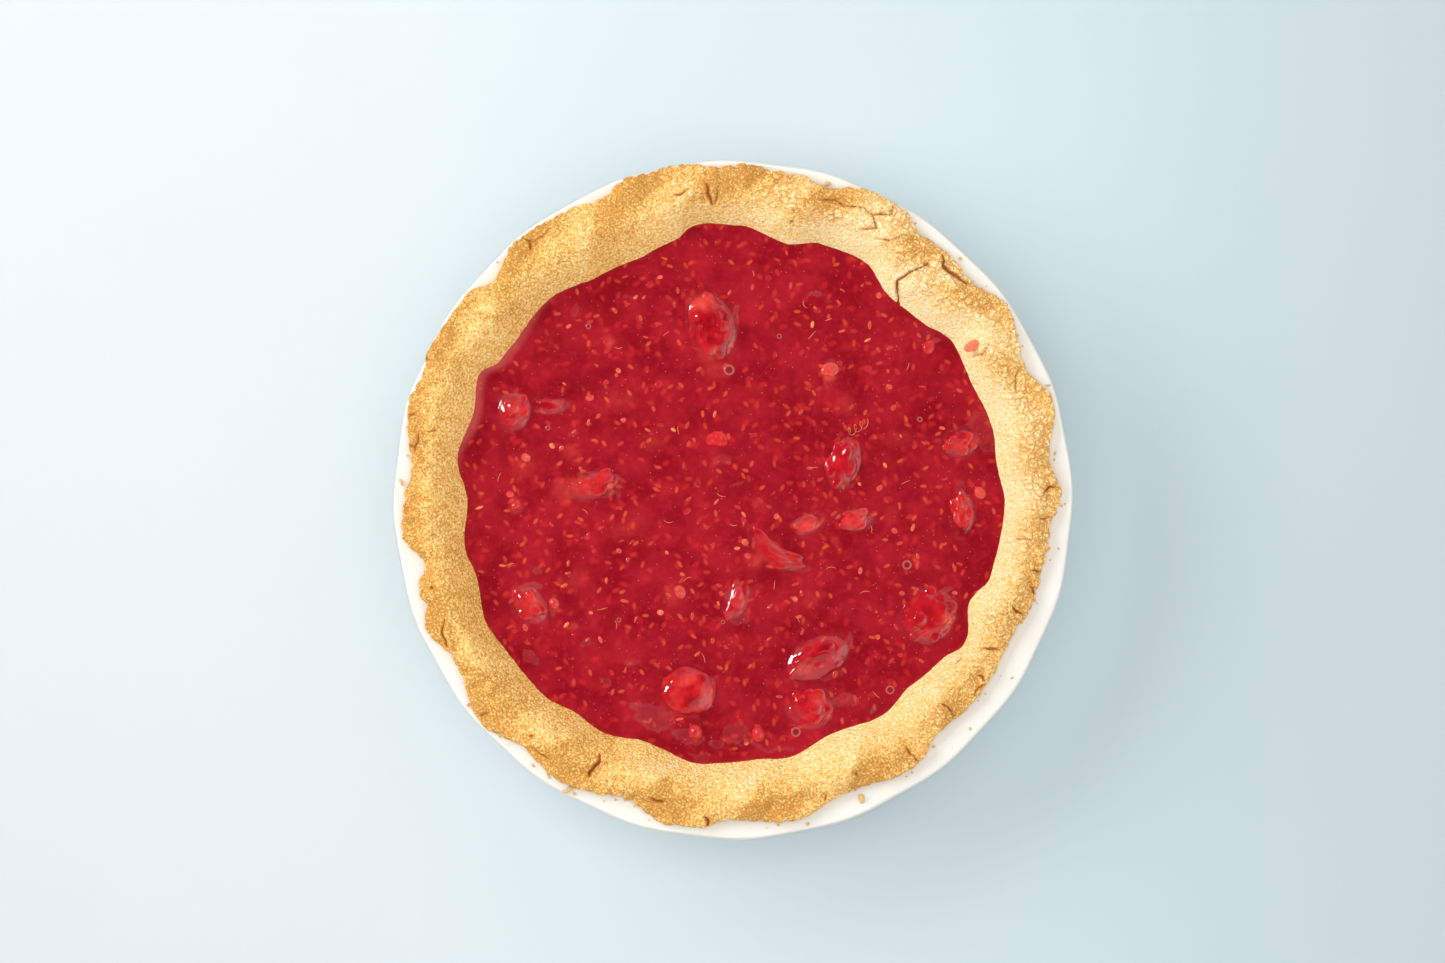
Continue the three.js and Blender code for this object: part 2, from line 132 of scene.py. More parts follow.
def nearestCells(points, size, seed):
    # How far the nearest two of points scattered one a cell are, in cells, and the nearest one's own number.
    scaled = points / size
    cells = np.floor(scaled).astype(np.int64)
    axes = points.shape[-1]
    first = np.full(points.shape[:-1], np.inf)
    second = first.copy()
    own = np.zeros_like(first)
    for step in np.ndindex(*(3,) * axes):
        there = cells + np.array(step) - 1
        spot = np.stack([there[..., axis] + cellRandom(there, seed + axis) for axis in range(axes)], -1)
        away = np.linalg.norm(scaled - spot, axis=-1)
        closer = away < first
        second = np.where(closer, first, np.minimum(second, away))
        own = np.where(closer, cellRandom(there, seed + 9), own)
        first = np.minimum(first, away)
    return first, second, own


def polar(degrees, radius):
    turn = np.radians(degrees)
    return np.stack([radius * np.cos(turn), radius * np.sin(turn)], -1)


def degreesOf(spots):
    return np.degrees(np.arctan2(spots[..., 1], spots[..., 0]))


def degreesApart(first, second):       # from -180 to 180
    return (first - second + 540) % 360 - 180


def raised(spots, height):             # spots in the plane, each given a height
    return np.concatenate([spots, height[..., None]], -1)


def turned(points, degrees):
    turn = np.radians(degrees)
    across = points[..., :2] @ np.array([[np.cos(turn), np.sin(turn)], [-np.sin(turn), np.cos(turn)]])
    return np.concatenate([across, points[..., 2:]], -1)


# Meshes

def addPiece(name, points, faces, finish, replaced=(), shades={}):
    mesh = bpy.data.meshes.new(name)
    mesh.from_pydata((points * mm).tolist(), [], faces)
    mesh.update()
    mesh.shade_smooth()
    for shade, values in shades.items():
        stored = mesh.attributes.new(shade, "FLOAT", "POINT").data
        stored.foreach_set("value", values.astype(np.float32).ravel())
    mesh.materials.append(finish)
    piece = linked(name, mesh)
    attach(piece, "root")
    if replaced:
        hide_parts(*replaced)


def squareQuads(steps):                # quads of a square grid of points, steps + 1 to a side
    row, column = np.meshgrid(np.arange(steps), np.arange(steps), indexing="ij")
    here = (row * (steps + 1) + column).ravel()
    return np.stack([here, here + 1, here + steps + 2, here + steps + 1], -1)


def latheBody(rings, firstHeight, lastHeight):
    # Rings stacked from the middle of the underside, out and up, and back in over the top, with quads between
    # them; each end is closed by triangles round a point on the axis.
    rows, columns = rings.shape[:2]
    points = np.concatenate([rings.reshape(-1, 3), [[0, 0, firstHeight], [0, 0, lastHeight]]])
    around = np.arange(columns)
    beside = (around + 1) % columns
    start = np.arange(rows - 1)[:, None] * columns
    quads = np.stack([start + around, start + beside, start + beside + columns, start + around + columns], -1)
    last = (rows - 1) * columns
    under = np.stack([np.full(columns, rows * columns), beside, around], -1)
    over = np.stack([np.full(columns, rows * columns + 1), last + around, last + beside], -1)
    return points, quads.reshape(-1, 4).tolist() + under.tolist() + over.tolist()


def ballGrid(steps):       # directions spread over a ball: a cube's faces in even angles, joined at its edges
    line = np.tan(np.linspace(-np.pi / 4, np.pi / 4, steps + 1))
    side, up = [grid.ravel() for grid in np.meshgrid(line, line)]
    one = np.ones_like(side)
    sides = [(one, side, up), (-one, -side, up), (-side, one, up), (side, -one, up), (side, up, one),
             (-side, up, -one)]
    directions = np.concatenate([np.stack(face, -1) for face in sides])
    quads = np.concatenate([squareQuads(steps) + k * (steps + 1) ** 2 for k in range(len(sides))])
    joined, which = np.unique(np.round(directions, 6), axis=0, return_inverse=True)
    return joined / np.linalg.norm(joined, axis=1, keepdims=True), which.ravel()[quads]


def ballsAt(steps, places, halves, turns=0.0, tilts=0.0):
    # A ball at each place: stretched by its half sizes, tipped about its long side and turned about Z. Also
    # gives the directions of the points of one ball.
    shape, quads = ballGrid(steps)
    turns, tilts = [np.broadcast_to(angle, len(places))[:, None] for angle in (turns, tilts)]
    stretched = shape[None] * halves[:, None]
    x = stretched[..., 0] * np.cos(tilts) - stretched[..., 2] * np.sin(tilts)
    z = stretched[..., 0] * np.sin(tilts) + stretched[..., 2] * np.cos(tilts)
    y = stretched[..., 1]
    points = np.stack([x * np.cos(turns) - y * np.sin(turns), x * np.sin(turns) + y * np.cos(turns), z], -1)
    offsets = np.arange(len(places))[:, None, None] * len(shape)
    return ((points + places[:, None]).reshape(-1, 3), (quads[None] + offsets).reshape(-1, 4).tolist(), shape)


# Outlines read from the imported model

outlines = {
    "pastrySteps": 240,                # the solids' own steps round the axis
    "gelSteps": 120,
    "gelAbove": 31.5,                  # the gel meets the pastry above this height
    "gelGap": 0.45,                    # between the gel's solid and the pastry
}


def nodeCorners(node):
    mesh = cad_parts[node].data
    flat = np.empty(3 * len(mesh.vertices))
    mesh.vertices.foreach_get("co", flat)
    return flat.reshape(-1, 3) / mm


def widestAround(corners, steps):      # the largest radius at each of even steps round the Z axis
    step = np.round(np.arctan2(corners[:, 1], corners[:, 0]) / (2 * np.pi) * steps).astype(int) % steps
    widest = np.zeros(steps)
    np.maximum.at(widest, step, np.hypot(corners[:, 0], corners[:, 1]))
    return widest


def closedCurve(radii, degrees):       # a smooth closed curve through radii at even steps (Catmull-Rom)
    place = degrees / 360 % 1 * len(radii)
    step = np.floor(place).astype(int)
    part = place - step
    a, b, c, d = [radii[(step + k) % len(radii)] for k in (-1, 0, 1, 2)]
    return b + 0.5 * part * (c - a + part * (2 * a - 5 * b + 4 * c - d + part * (3 * (b - c) + d - a)))


gelCorners = nodeCorners("filling")
crustRadii = widestAround(nodeCorners("crust"), outlines["pastrySteps"])
gelRadii = widestAround(gelCorners[gelCorners[:, 2] > outlines["gelAbove"]], outlines["gelSteps"])
gelRadii = gelRadii + outlines["gelGap"]


def gelEdgeAt(degrees):
    return closedCurve(gelRadii, degrees)


# Shader maths. A Wire is a node's output, and arithmetic on it adds Math nodes.
class Wire:
    def __init__(self, maker, socket):
        self.maker = maker
        self.socket = socket

    def named(self, output):
        return Wire(self.maker, self.socket.node.outputs[output])

    def __add__(self, other):
        return self.maker.maths("ADD", self, other)

    def __sub__(self, other):
        return self.maker.maths("SUBTRACT", self, other)

    def __rsub__(self, other):
        return self.maker.maths("SUBTRACT", other, self)

    def __mul__(self, other):
        return self.maker.maths("MULTIPLY", self, other)

    def __truediv__(self, other):
        return self.maker.maths("DIVIDE", self, other)

    def __gt__(self, other):
        return self.maker.maths("GREATER_THAN", self, other)

    __radd__ = __add__
    __rmul__ = __mul__


class Maker:
    def __init__(self, tree):
        self.tree = tree

    def feed(self, socket, value):
        if isinstance(value, Wire):
            self.tree.links.new(value.socket, socket)
        else:
            socket.default_value = value

    def node(self, kind, values={}, output=0, stops=None, **settings):
        made = self.tree.nodes.new("ShaderNode" + kind)
        for setting, value in settings.items():
            setattr(made, setting, value)
        if stops:
            elements = made.color_ramp.elements
            while len(elements) < len(stops):
                elements.new(0.5)
            for element, (position, shown) in zip(elements, stops):
                element.position = position
                element.color = shown
        for socket, value in values.items():
            self.feed(made.inputs[socket], value)
        return Wire(self, made.outputs[output])

    def maths(self, operation, *values):
        return self.node("Math", dict(enumerate(values)), operation=operation)

    def vector(self, operation, *values):
        return self.node("VectorMath", dict(enumerate(values)), operation=operation)

    def eased(self, value, low, high):
        return self.node("MapRange", {"Value": value, "From Min": low, "From Max": high},
                         interpolation_type="SMOOTHSTEP")

    def faded(self, value, low, high):
        return 1 - self.eased(value, low, high)

    def mixed(self, share, first, second):
        return self.node("Mix", {0: share, 6: first, 7: second}, output=2, data_type="RGBA")

    def ramp(self, tone, stops):       # colours by tone
        return self.node("ValToRGB", {"Fac": tone}, stops=stops)

    def shade(self, name):             # a value stored on the mesh's vertices
        return self.node("Attribute", attribute_name=name).named("Fac")

    def place(self, shift=(0, 0, 0)):
        return self.vector("ADD", self.node("TexCoord").named("Object"), shift)

    def noise(self, size, detail=2.0, roughness=0.5, shift=(0, 0, 0)):     # 0 to 1; size in millimetres
        return self.node("TexNoise", {"Vector": self.place(shift), "Scale": 1 / (size * mm), "Detail": detail,
                                      "Roughness": roughness})

    def bent(self, size, reach):       # the place pushed about by noise of this size, up to this far
        drift = self.node("TexNoise", {"Vector": self.place(), "Scale": 1 / (size * mm), "Detail": 2.0})
        centred = self.vector("SUBTRACT", drift.named("Color"), (0.5, 0.5, 0.5))
        return self.vector("ADD", self.place(), self.vector("MULTIPLY", centred, (2 * reach * mm,) * 3))

    def cells(self, size, feature="F1", dimensions="3D", shift=(0, 0, 0), at=None):
        # the distance to the nearest of points scattered one a cell
        return self.node("TexVoronoi", {"Vector": at or self.place(shift), "Scale": 1 / (size * mm)},
                         feature=feature, voronoi_dimensions=dimensions)

    def dots(self, size, low, high, shift):            # 1 at each cell's point, 0 beyond
        return self.faded(self.cells(size, shift=shift), low, high)


class Finish(Maker):                   # a material under way
    def __init__(self, name, **constants):
        self.material = bpy.data.materials.new(name)
        self.material.use_nodes = True
        super().__init__(self.material.node_tree)
        self.shader = self.tree.nodes["Principled BSDF"]
        for socket, value in constants.items():
            self.shader.inputs[socket.replace("_", " ")].default_value = value

    def done(self, base, roughness, height=None, depth=0, strength=1):     # depth of the bump in millimetres
        fed = {"Base Color": base, "Roughness": roughness}
        if height is not None:
            bump = {"Height": height, "Distance": depth * mm, "Strength": strength}
            fed["Normal"] = self.node("Bump", bump)
        for socket, value in fed.items():
            self.feed(self.shader.inputs[socket], value)
        return self.material


def flesh(weight, scale, green, blue):                 # how far each colour of light goes into wet fruit
    return {"Subsurface_Weight": weight, "Subsurface_Scale": scale, "Subsurface_Radius": (1.0, green, blue)}


def colour(red, green, blue):          # a colour as the screen shows it, 0 to 255, made linear for the shader
    screen = np.array([red, green, blue]) / 255
    linear = np.where(screen <= 0.04045, screen / 12.92, ((screen + 0.055) / 1.055) ** 2.4)
    return (*[float(part) for part in linear], 1.0)


def colours(*rows):                    # (place, red, green, blue) rows for a ramp
    return [(place, colour(*shown)) for place, *shown in rows]


# The dish

dish = {
    "scallops": 20,
    "scallopStart": 2.0,               # degrees
    "reach": 0.34,                     # how far the scallops stand out and up, mm
    "lift": 0.1,
    "around": 480,
    "longest": 4.0,                    # the longest step along the profile
    "cornerSteps": 6,
    # the profile's corners: radius, height, share of the scallop, rounding
    "outside": [
        (0, 1.6, 0, 0), (78, 1.6, 0, 1), (80.5, 0, 0, 1), (87, 0, 0, 1.2), (91, 3.5, 0, 3),
        (118, 36.2, 0.5, 5), (126.8, 38.9, 1, 2), (128.1, 40.2, 1, 0.9),
    ],
    "lip": (127.3, 41.7, 1, 0.8),
    "flangeFoot": (114.5, 39.9, 0.5, 2),
    "wallTop": (112.2, 37, 0.2, 2),
    "wallFoot": (92, 7.5, 0, 3),
    "floor": [(87, 5, 0, 3), (0, 5, 0, 0)],
    "glaze": (colour(238, 237, 232), colour(244, 243, 239)),
    "speck": colour(226, 200, 150),
}


def scallopAt(degrees):
    return np.cos(dish["scallops"] * np.radians(degrees - dish["scallopStart"]))


def roundedProfile(corners, longest):
    # Straight lines between the corners, cut into steps, and at each corner a quadratic curve that starts and
    # ends its rounding away from the corner.
    def straight(start, end):
        count = int(np.ceil(np.linalg.norm((end - start)[:2]) / longest)) + 1
        return np.linspace(start, end, count)

    corners = np.array(corners, float)
    path = corners[:, :3]
    rows = [path[:1]]
    for before, corner, after, rounding in zip(path, path[1:], path[2:], corners[1:, 3]):
        start = corner + (before - corner) * rounding / np.linalg.norm((before - corner)[:2])
        end = corner + (after - corner) * rounding / np.linalg.norm((after - corner)[:2])
        part = np.linspace(0, 1, dish["cornerSteps"])[:, None]
        curve = (1 - part) ** 2 * start + 2 * part * (1 - part) * corner + part**2 * end
        rows += [straight(rows[-1][-1], start)[1:], curve[1:]]
    rows.append(straight(rows[-1][-1], path[-1])[1:])
    return np.concatenate(rows)


def glazeFinish():
    finish = Finish("glaze", IOR=1.5)
    base = finish.mixed(finish.noise(28, detail=3), *dish["glaze"])
    base = finish.mixed(finish.dots(9, 0.035, 0.06, (0.3, 0.1, 0)) * 0.5, base, dish["speck"])
    waves = finish.noise(14) + 0.2 * finish.noise(1.2)
    return finish.done(base, 0.16 + 0.12 * finish.noise(6, detail=3), waves, 0.1, 0.6)


def makeDish():
    # Each ring of the profile is a circle with a cosine wave of small scallops, fading out below the rim.
    inside = [dish[name] for name in ("lip", "flangeFoot", "wallTop", "wallFoot")]
    corners = dish["outside"] + inside + dish["floor"]
    profile = roundedProfile(corners, dish["longest"])[1:-1]
    degrees = np.linspace(0, 360, dish["around"], endpoint=False)
    wave = profile[:, 2:] * scallopAt(degrees)
    radius = profile[:, :1] + dish["reach"] * wave
    height = profile[:, 1:2] + dish["lift"] * wave
    points, faces = latheBody(raised(polar(degrees, radius), height), corners[0][1], corners[-1][1])
    addPiece("baking_dish", points, faces, glazeFinish(), ["pie_dish"])


makeDish()
print("dish made")


# The pastry

crust = {
    "around": 1340,
    "rowsOver": 58,                    # rings from the outer edge to the gel
    "rowsPower": 1.12,                 # above 1, more of them lie near the outer edge
    "crest": 45.0,
    "crestAt": 0.4,                    # its place between the outer edge (0) and the gel (1)
    "edgeHeight": 3.0,                 # how high the outer edge stands over the flange
    "innerPower": 1.5,
    "gelLevel": 33.0,
    "gelOverlap": 1.0,                 # how far the gel creeps up the pastry
    "gap": 0.35,                       # between the rim and the dish under it
    # the hidden underside: its floor, its gaps inward and up at the foot and top of the dish's wall, where it
    # meets the flange, and where it leaves it, from the flange's foot (0) to the outer edge (1)
    "floor": (86.9, 5.3),
    "wallFootGap": (0.25, 0.2),
    "wallTopGap": (0.22, 0.22),
    "flangeMeets": 114.4,
    "flangeLeaves": 0.65,
    # the outer edge turns up from the underside: steps, how far in it starts, power, height, and the first
    # ring's drop and least rise over the last step
    "lipSteps": 5,
    "lipInward": 1.1,
    "lipPower": 1.2,
    "lipHeight": 1.5,
    "lipDrop": (0.7, 0.1),
    # the hidden inner wall: how far inside the gel's edge, and height; then its floor
    "innerWall": [(2.0, 31.2), (7, 24.5)],
    "innerFloor": (84.5, 11.5),
    "innerMiddle": 10.0,
    # pinched ridges, by their angle at the outer edge; they slant as they run inward
    "ridges": [7, 25, 43, 55, 74, 93, 114, 137, 157, 175, 192, 210, 230, 250, 270, 291, 312, 334, 352],
    "ridgeWidth": 5.0,                 # degrees
    "ridgeRise": 2.4,
    "slant": 9.0,
    "softness": 1.3,                   # 2 would round the ridges off like a bell
    # pressed hollows between the ridges: angle, and how much browner they are, partly their own browning and
    # partly painted shade
    "hollows": [
        (0, 0.5), (17, 0.5), (35, 0.45), (48, 0.8), (66, 0.8), (84, 0.5), (103, 0.85), (126, 0.6), (147, 0.6),
        (165, 0.7), (184, 0.7), (202, 0.8), (221, 0.9), (240, 0.7), (260, 0.9), (281, 0.8), (303, 0.8),
        (322, 0.75), (343, 0.65),
    ],
    "hollowWidth": 5.0,
    "hollowAcross": (0.22, 0.24),      # middle and half length
    "hollowDepth": 2.0,
    # the browning: added every 30 degrees; on the right and on the left, the least, what is added at the
    # outer edge, and where across that starts and ends to fade
    "browner": [-0.28, -0.34, -0.42, 0.12, 0.06, 0.06, 0.12, 0.18, 0.22, 0.15, 0.06, -0.12],
    "rightBake": (0.08, 0.58, 0.1, 0.85),
    "leftBake": (0.52, 0.4, 0, 0.5),
    "bakeSides": (-0.75, 0.15),        # the cosines of the angles between which left turns into right
    "bakeRange": (-0.3, 1),
    "paintedLightFrom": 166,                # painted light and shade: each ridge's side facing this way, in degrees, is painted paler and its far side browner
    # how much each thing browns: a flake (its own colour and a painted highlight), a hollow (its own browning
    # and painted shade), the painted light and shade on a ridge's sides, a lump
    "browning": (-0.25, 0.22, -0.8, -0.11),
    "patchy": [(0.16, 9, 101), (0.1, 2.4, 105)],       # uneven browning: how much, size, seed
    "lumps": [(13, 0.5), (6, 0.6), (3.4, 0.5), (1.9, 0.32), (1.1, 0.2)],       # the roughness: size, height
    "lumpSeed": 80,
    "roughFade": (0.5, 0.9),           # where across the roughness dies down
    "roughLeast": 0.25,
    "highest": (46.0, 47.35),          # heights above the first are pressed softly under the second
    # the outer edge is broken into rounded lobes (reach, size, seed) that vary from place to place (least,
    # more, size, seed), and crumbled (reach, size, seed)
    "lobes": (0.9, 5.2, 75),
    "lobesVary": (0.65, 0.5, 14, 71),
    "crumble": (0.55, 3.4, 72),
    "domes": (0.65, 3.3, 90),          # low domes between the wrinkles: height, size, seed
    # wrinkles craze one side: its direction in degrees, the cosines between which they set in, and where
    # across they fade; then how much there is all round, and where across that fades
    "crazeTowards": 25,
    "crazeSide": (-0.15, 0.7),
    "crazeAcross": (0.4, 0.85),
    "crazeAround": (0.2, 0.2, 0.5),
    "crazeVary": (0.75, 0.5, 9, 95),
    "markWander": (1.1, 4.2, 61, 4),   # how cracks and flakes wander: reach, size, seed, layers
    "markReach": 3.0,                  # how far from a crack its shade is worked out
    "markMargin": 5,
    # cracks: half width and depth in mm, then a line of (angle, radius) points
    "cracks": [
        (0.55, 2.4, [(49.8, 95), (49.8, 97.5), (53.2, 103.6), (50.8, 115.4)]),
        (0.8, 2.0, [(49.2, 121.6), (48, 118), (45.4, 118.6), (42.9, 120.2)]),
        (0.6, 1.3, [(2, 123.4), (2.4, 119.5), (1.2, 116.9)]),
        (0.4, 0.8, [(31, 105.6), (30.2, 109), (31.4, 113.1)]), (0.6, 1.3, [(77.8, 107), (78.3, 107.4)]),
        (0.7, 1.4, [(94.8, 119.8), (94.9, 116), (94.3, 111.8)]),
        (0.45, 0.7, [(92.5, 119), (93.1, 116), (93.7, 112)]),
        (0.45, 0.9, [(101.3, 117.4), (99.4, 116.9), (97.9, 118.2)]),
        (0.4, 0.6, [(124, 123.4), (126, 122.8), (128, 123.3)]),
        (0.6, 1.1, [(128.6, 126.6), (128.2, 124), (128.9, 121.4)]),
        (0.6, 1.4, [(155.4, 128), (154.8, 125.4)]), (0.5, 1.0, [(165.4, 126), (164.8, 123.4)]),
        (0.45, 1.2, [(168, 121.4), (169.6, 120.8), (171.4, 121.6)]),
        (0.5, 1.2, [(170.4, 123.6), (170.9, 120.8)]), (0.45, 0.8, [(167.4, 118.2), (166.7, 115.2)]),
        (0.6, 1.2, [(196.2, 118.4), (196.6, 117.4)]),
        (0.5, 1.0, [(202.4, 117.4), (204.6, 120.2), (207.4, 121.4)]),
        (0.5, 0.9, [(220.4, 125), (220.8, 121.6)]), (0.6, 1.2, [(229, 117.2), (229.5, 116.4)]),
        (0.45, 0.9, [(231, 119.4), (233, 119.9), (235, 119.2)]),
        (0.8, 2.2, [(242.2, 109), (242.9, 111.6), (242.2, 115.6), (242.5, 117.4)]),
        (0.7, 1.5, [(254.6, 116.6), (255.6, 117.2), (257, 117)]),
        (0.7, 1.9, [(265.1, 119.6), (265.9, 121.4), (265.6, 122.8)]),
        (0.45, 0.9, [(287.3, 116.2), (286.8, 119)]), (0.5, 0.9, [(294, 111.4), (294.3, 113.4)]),
        (0.6, 1.2, [(305, 114), (304.6, 117), (305.3, 120.8)]),
        (0.6, 1.5, [(315.4, 109.2), (316, 112.6), (315.7, 116.2)]),
        (0.5, 1.0, [(321, 117.2), (322.6, 116.8), (324, 118)]),
        (0.6, 1.4, [(324.2, 113.2), (324.7, 115), (324.4, 117)]),
        (0.45, 0.8, [(323.8, 104.2), (325.5, 105.4)]),
        (0.6, 1.3, [(329.2, 109.2), (330.2, 112), (330.8, 115)]),
        (0.7, 1.7, [(338.8, 113), (338.5, 115), (338.4, 117)]), (0.5, 1.0, [(342.1, 118.8), (343.6, 116.6)]),
        (0.6, 1.5, [(346.9, 116), (346.9, 118.4)]), (0.4, 0.7, [(352.1, 106.8), (352.5, 111), (352.2, 114)]),
        (0.5, 1.0, [(356.3, 115.6), (356.7, 118.8)]),
        (0.5, 1.1, [(61.5, 126.4), (61, 123.4), (64, 119.4), (66, 121)]),
        (0.5, 1.0, [(64, 119.4), (62, 116.5), (64.5, 113.6)]),
        (0.45, 0.9, [(66, 121), (69, 118.6), (71.4, 119.8), (74, 118)]),
        (0.4, 0.7, [(57, 118.4), (58.6, 114), (61.2, 112.4)]),
        (0.4, 0.7, [(24.8, 119.4), (23.4, 115.8), (20.6, 114.6)]),
    ],
    # raised flakes and lumps, in the same way; a flake is also painted paler, partly its own colour and
    # partly a painted highlight
    "flakes": [
        (0.9, 1.7, [(203.5, 117), (205.6, 119.4), (208.3, 120.1)]),
        (0.8, 0.9, [(274.2, 119.6), (275.8, 121.2)]), (1.4, 0.9, [(325.2, 116.4), (327.2, 116.2)]),
        (2.0, 0.9, [(197.4, 119), (198.8, 119.2)]), (1.0, 0.8, [(94, 119), (94, 113)]),
        (1.6, 0.7, [(153.6, 126.4), (153.8, 124)]), (1.6, 0.7, [(156.6, 126.4), (156.4, 124)]),
        (2.2, 0.8, [(240.2, 113), (240.6, 117)]), (2.2, 0.8, [(245, 112.6), (245.4, 116.6)]),
        (1.3, 0.8, [(43, 116.6), (47.4, 115.6)]),
    ],
    "shades": colours(                 # from pale to brown
        (0.0, 255, 238, 192), (0.19, 255, 230, 172), (0.34, 255, 218, 148), (0.5, 249, 204, 124),
        (0.66, 239, 190, 108), (0.81, 224, 169, 85), (1.0, 199, 138, 61),
    ),
    # painted shade: the tints for the gaps between grains and for the furrows
    "creviceShade": colour(245, 178, 102),
    "furrow": colour(224, 150, 80),
    "besideCracks": colour(214, 138, 58),
    # painted shade: the dark inside the cracks
    "crackShade": colour(170, 88, 26),
}


def flangeHeight(radius, degrees):     # the dish's flange under the pastry's rim
    footRadius, footHeight, footShare = dish["flangeFoot"][:3]
    lipRadius, lipHeight, lipShare = dish["lip"][:3]
    slope = (lipHeight - footHeight) / (lipRadius - footRadius)
    along = (radius - footRadius) / (lipRadius - footRadius)
    wave = blendBy(along, footShare, lipShare) * scallopAt(degrees)
    return footHeight + (radius - footRadius) * slope + (dish["lift"] - dish["reach"] * slope) * wave


def fluteAt(degrees, across, angle, width):            # a soft mark, 0 to 1, that slants as it runs inward
    return bell(degreesApart(degrees - crust["slant"] * across, angle), width, crust["softness"])


def flutingAt(degrees, across):        # the ridges' rise less the hollows' depth, and the hollows' browning, partly painted shade
    ridge = np.zeros(np.broadcast(degrees, across).shape)
    for angle in crust["ridges"]:
        ridge = np.maximum(ridge, fluteAt(degrees, across, angle, crust["ridgeWidth"]))
    middle, halfLength = crust["hollowAcross"]
    hollow, browning = np.zeros_like(ridge), np.zeros_like(ridge)
    for angle, brown in crust["hollows"]:
        pressed = bell(across - middle, halfLength) * fluteAt(degrees, across, angle, crust["hollowWidth"])
        hollow = np.maximum(hollow, pressed)
        browning = np.maximum(browning, brown * pressed)
    return crust["ridgeRise"] * ridge - crust["hollowDepth"] * hollow, browning


def marksAt(spots, marks):
    # How far each spot lies outside the nearest mark, in mm, and the mark's height there. A mark is a line
    # whose half width tapers towards its ends.
    bent = wandering(spots, *crust["markWander"])
    outside = np.full(spots.shape[:-1], crust["markReach"])
    rise = np.zeros_like(outside)
    for width, high, line in marks:
        path = polar(*np.array(line, float).T)
        lengths = np.linalg.norm(np.diff(path, axis=0), axis=1)
        total = lengths.sum()
        near = np.linalg.norm(bent - path.mean(0), axis=-1) < total / 2 + crust["markMargin"]
        here = bent[near]
        side, along, run = np.full(len(here), np.inf), np.zeros(len(here)), 0.0
        for start, end, length in zip(path[:-1], path[1:], lengths):
            part = np.clip(((here - start) @ (end - start)) / length**2, 0, 1)
            away = np.linalg.norm(here - start - part[:, None] * (end - start), axis=-1)
            along = np.where(away < side, (run + part * length) / total, along)
            side = np.minimum(side, away)
            run += length
        taper = 0.5 + 0.5 * np.sin(np.pi * np.clip(along, 0.04, 0.96)) ** 0.6
        outside[near] = np.minimum(outside[near], side - width * taper)
        rise[near] = np.maximum(rise[near], high * taper * np.sqrt(np.clip(1 - side / (width * taper), 0, 1)))
    return outside, rise


def crustOuter(degrees):               # the outer edge, broken into rounded lobes and crumbled here and there
    plain = closedCurve(crustRadii, degrees)
    spots = polar(degrees, plain)
    reach, size, seed = crust["lobes"]
    first, second, own = nearestCells(spots, size, seed)
    lobes = reach * (ease(second - first, 0, 0.4) - 0.8 + 0.6 * (own - 0.5))
    return plain + lobes * varying(spots, *crust["lobesVary"]) + uneven(spots, *crust["crumble"])


def plainRim(degrees, across, outer, fluting):
    # A quarter sine from the outer edge (across 0) up to the crest, then a power curve down to the gel (1).
    edge = flangeHeight(outer, degrees) + crust["gap"] + crust["edgeHeight"]
    crest = crust["crest"] + fluting
    crestAt = crust["crestAt"]
    rise = np.sin(np.pi / 2 * np.clip(across / crestAt, 0, 1))
    fall = np.clip((across - crestAt) / (1 - crestAt), 0, 1) ** crust["innerPower"]
    return np.where(across < crestAt, blendBy(rise, edge, crest), blendBy(fall, crest, crust["gelLevel"]))


def pressedUnder(height):              # heights near the top flattened by a hyperbolic tangent
    softFrom, highest = crust["highest"]
    room = highest - softFrom
    return np.where(height > softFrom, softFrom + room * np.tanh((height - softFrom) / room), height)


def browned(degrees, across, spots, flake, browning, rough, relief):
    # How baked the pastry is: browner outside, low down and in the hollows, whose browning is partly painted
    # shade; and painted light and shade on each ridge, paler towards the lamp and browner on its far side.
    sides = [least + more * fade(across, start, end)
             for least, more, start, end in (crust["leftBake"], crust["rightBake"])]
    bake = blendBy(ease(np.cos(np.radians(degrees)), *crust["bakeSides"]), *sides)
    bake = bake + closedCurve(np.array(crust["browner"]), degrees)
    # painted light and shade: a ridge's side that faces the lamp is made paler, its far side browner
    fall = flutingAt(degrees - 0.5, across)[0] - flutingAt(degrees + 0.5, across)[0]
    paintedLitSide = fall * np.sin(np.radians(crust["paintedLightFrom"] - degrees))
    for share, thing in zip(crust["browning"], (flake, browning, rough * paintedLitSide, rough * relief)):
        bake = bake + share * thing
    for patchy in crust["patchy"]:
        bake = bake + uneven(spots, *patchy)
    return np.clip(bake, *crust["bakeRange"])


def crustTop(degrees, across):
    # The rim's radius and height at an angle and a place across, and what its finish has to know there: how
    # baked it is, how crazed, and how far outside the nearest crack.
    outer = crustOuter(degrees)
    radius = blendBy(across, outer, gelEdgeAt(degrees))
    spots = polar(degrees, radius)
    fluting, browning = flutingAt(degrees, across)
    rough = crust["roughLeast"] + (1 - crust["roughLeast"]) * fade(across, *crust["roughFade"])
    relief = sum(high * softNoise(spots, size, crust["lumpSeed"] + k)
                 for k, (size, high) in enumerate(crust["lumps"]))
    towards = np.cos(np.radians(degrees - crust["crazeTowards"]))
    least, start, end = crust["crazeAround"]
    craze = ease(towards, *crust["crazeSide"]) * fade(across, *crust["crazeAcross"])
    craze = craze + least * fade(across, start, end)
    craze = np.clip(craze * varying(spots, *crust["crazeVary"]), 0, 1)
    high, size, seed = crust["domes"]
    dome = high * craze * (0.5 - nearestCells(spots, size, seed)[0])
    outside, depth = marksAt(spots, crust["cracks"])
    flake = marksAt(spots, crust["flakes"])[1]
    height = pressedUnder(plainRim(degrees, across, outer, fluting) + rough * (relief + dome) + flake - depth)
    bake = browned(degrees, across, spots, flake, browning, rough, relief)
    return radius, height, {"bake": bake, "craze": craze, "crackOutside": outside}


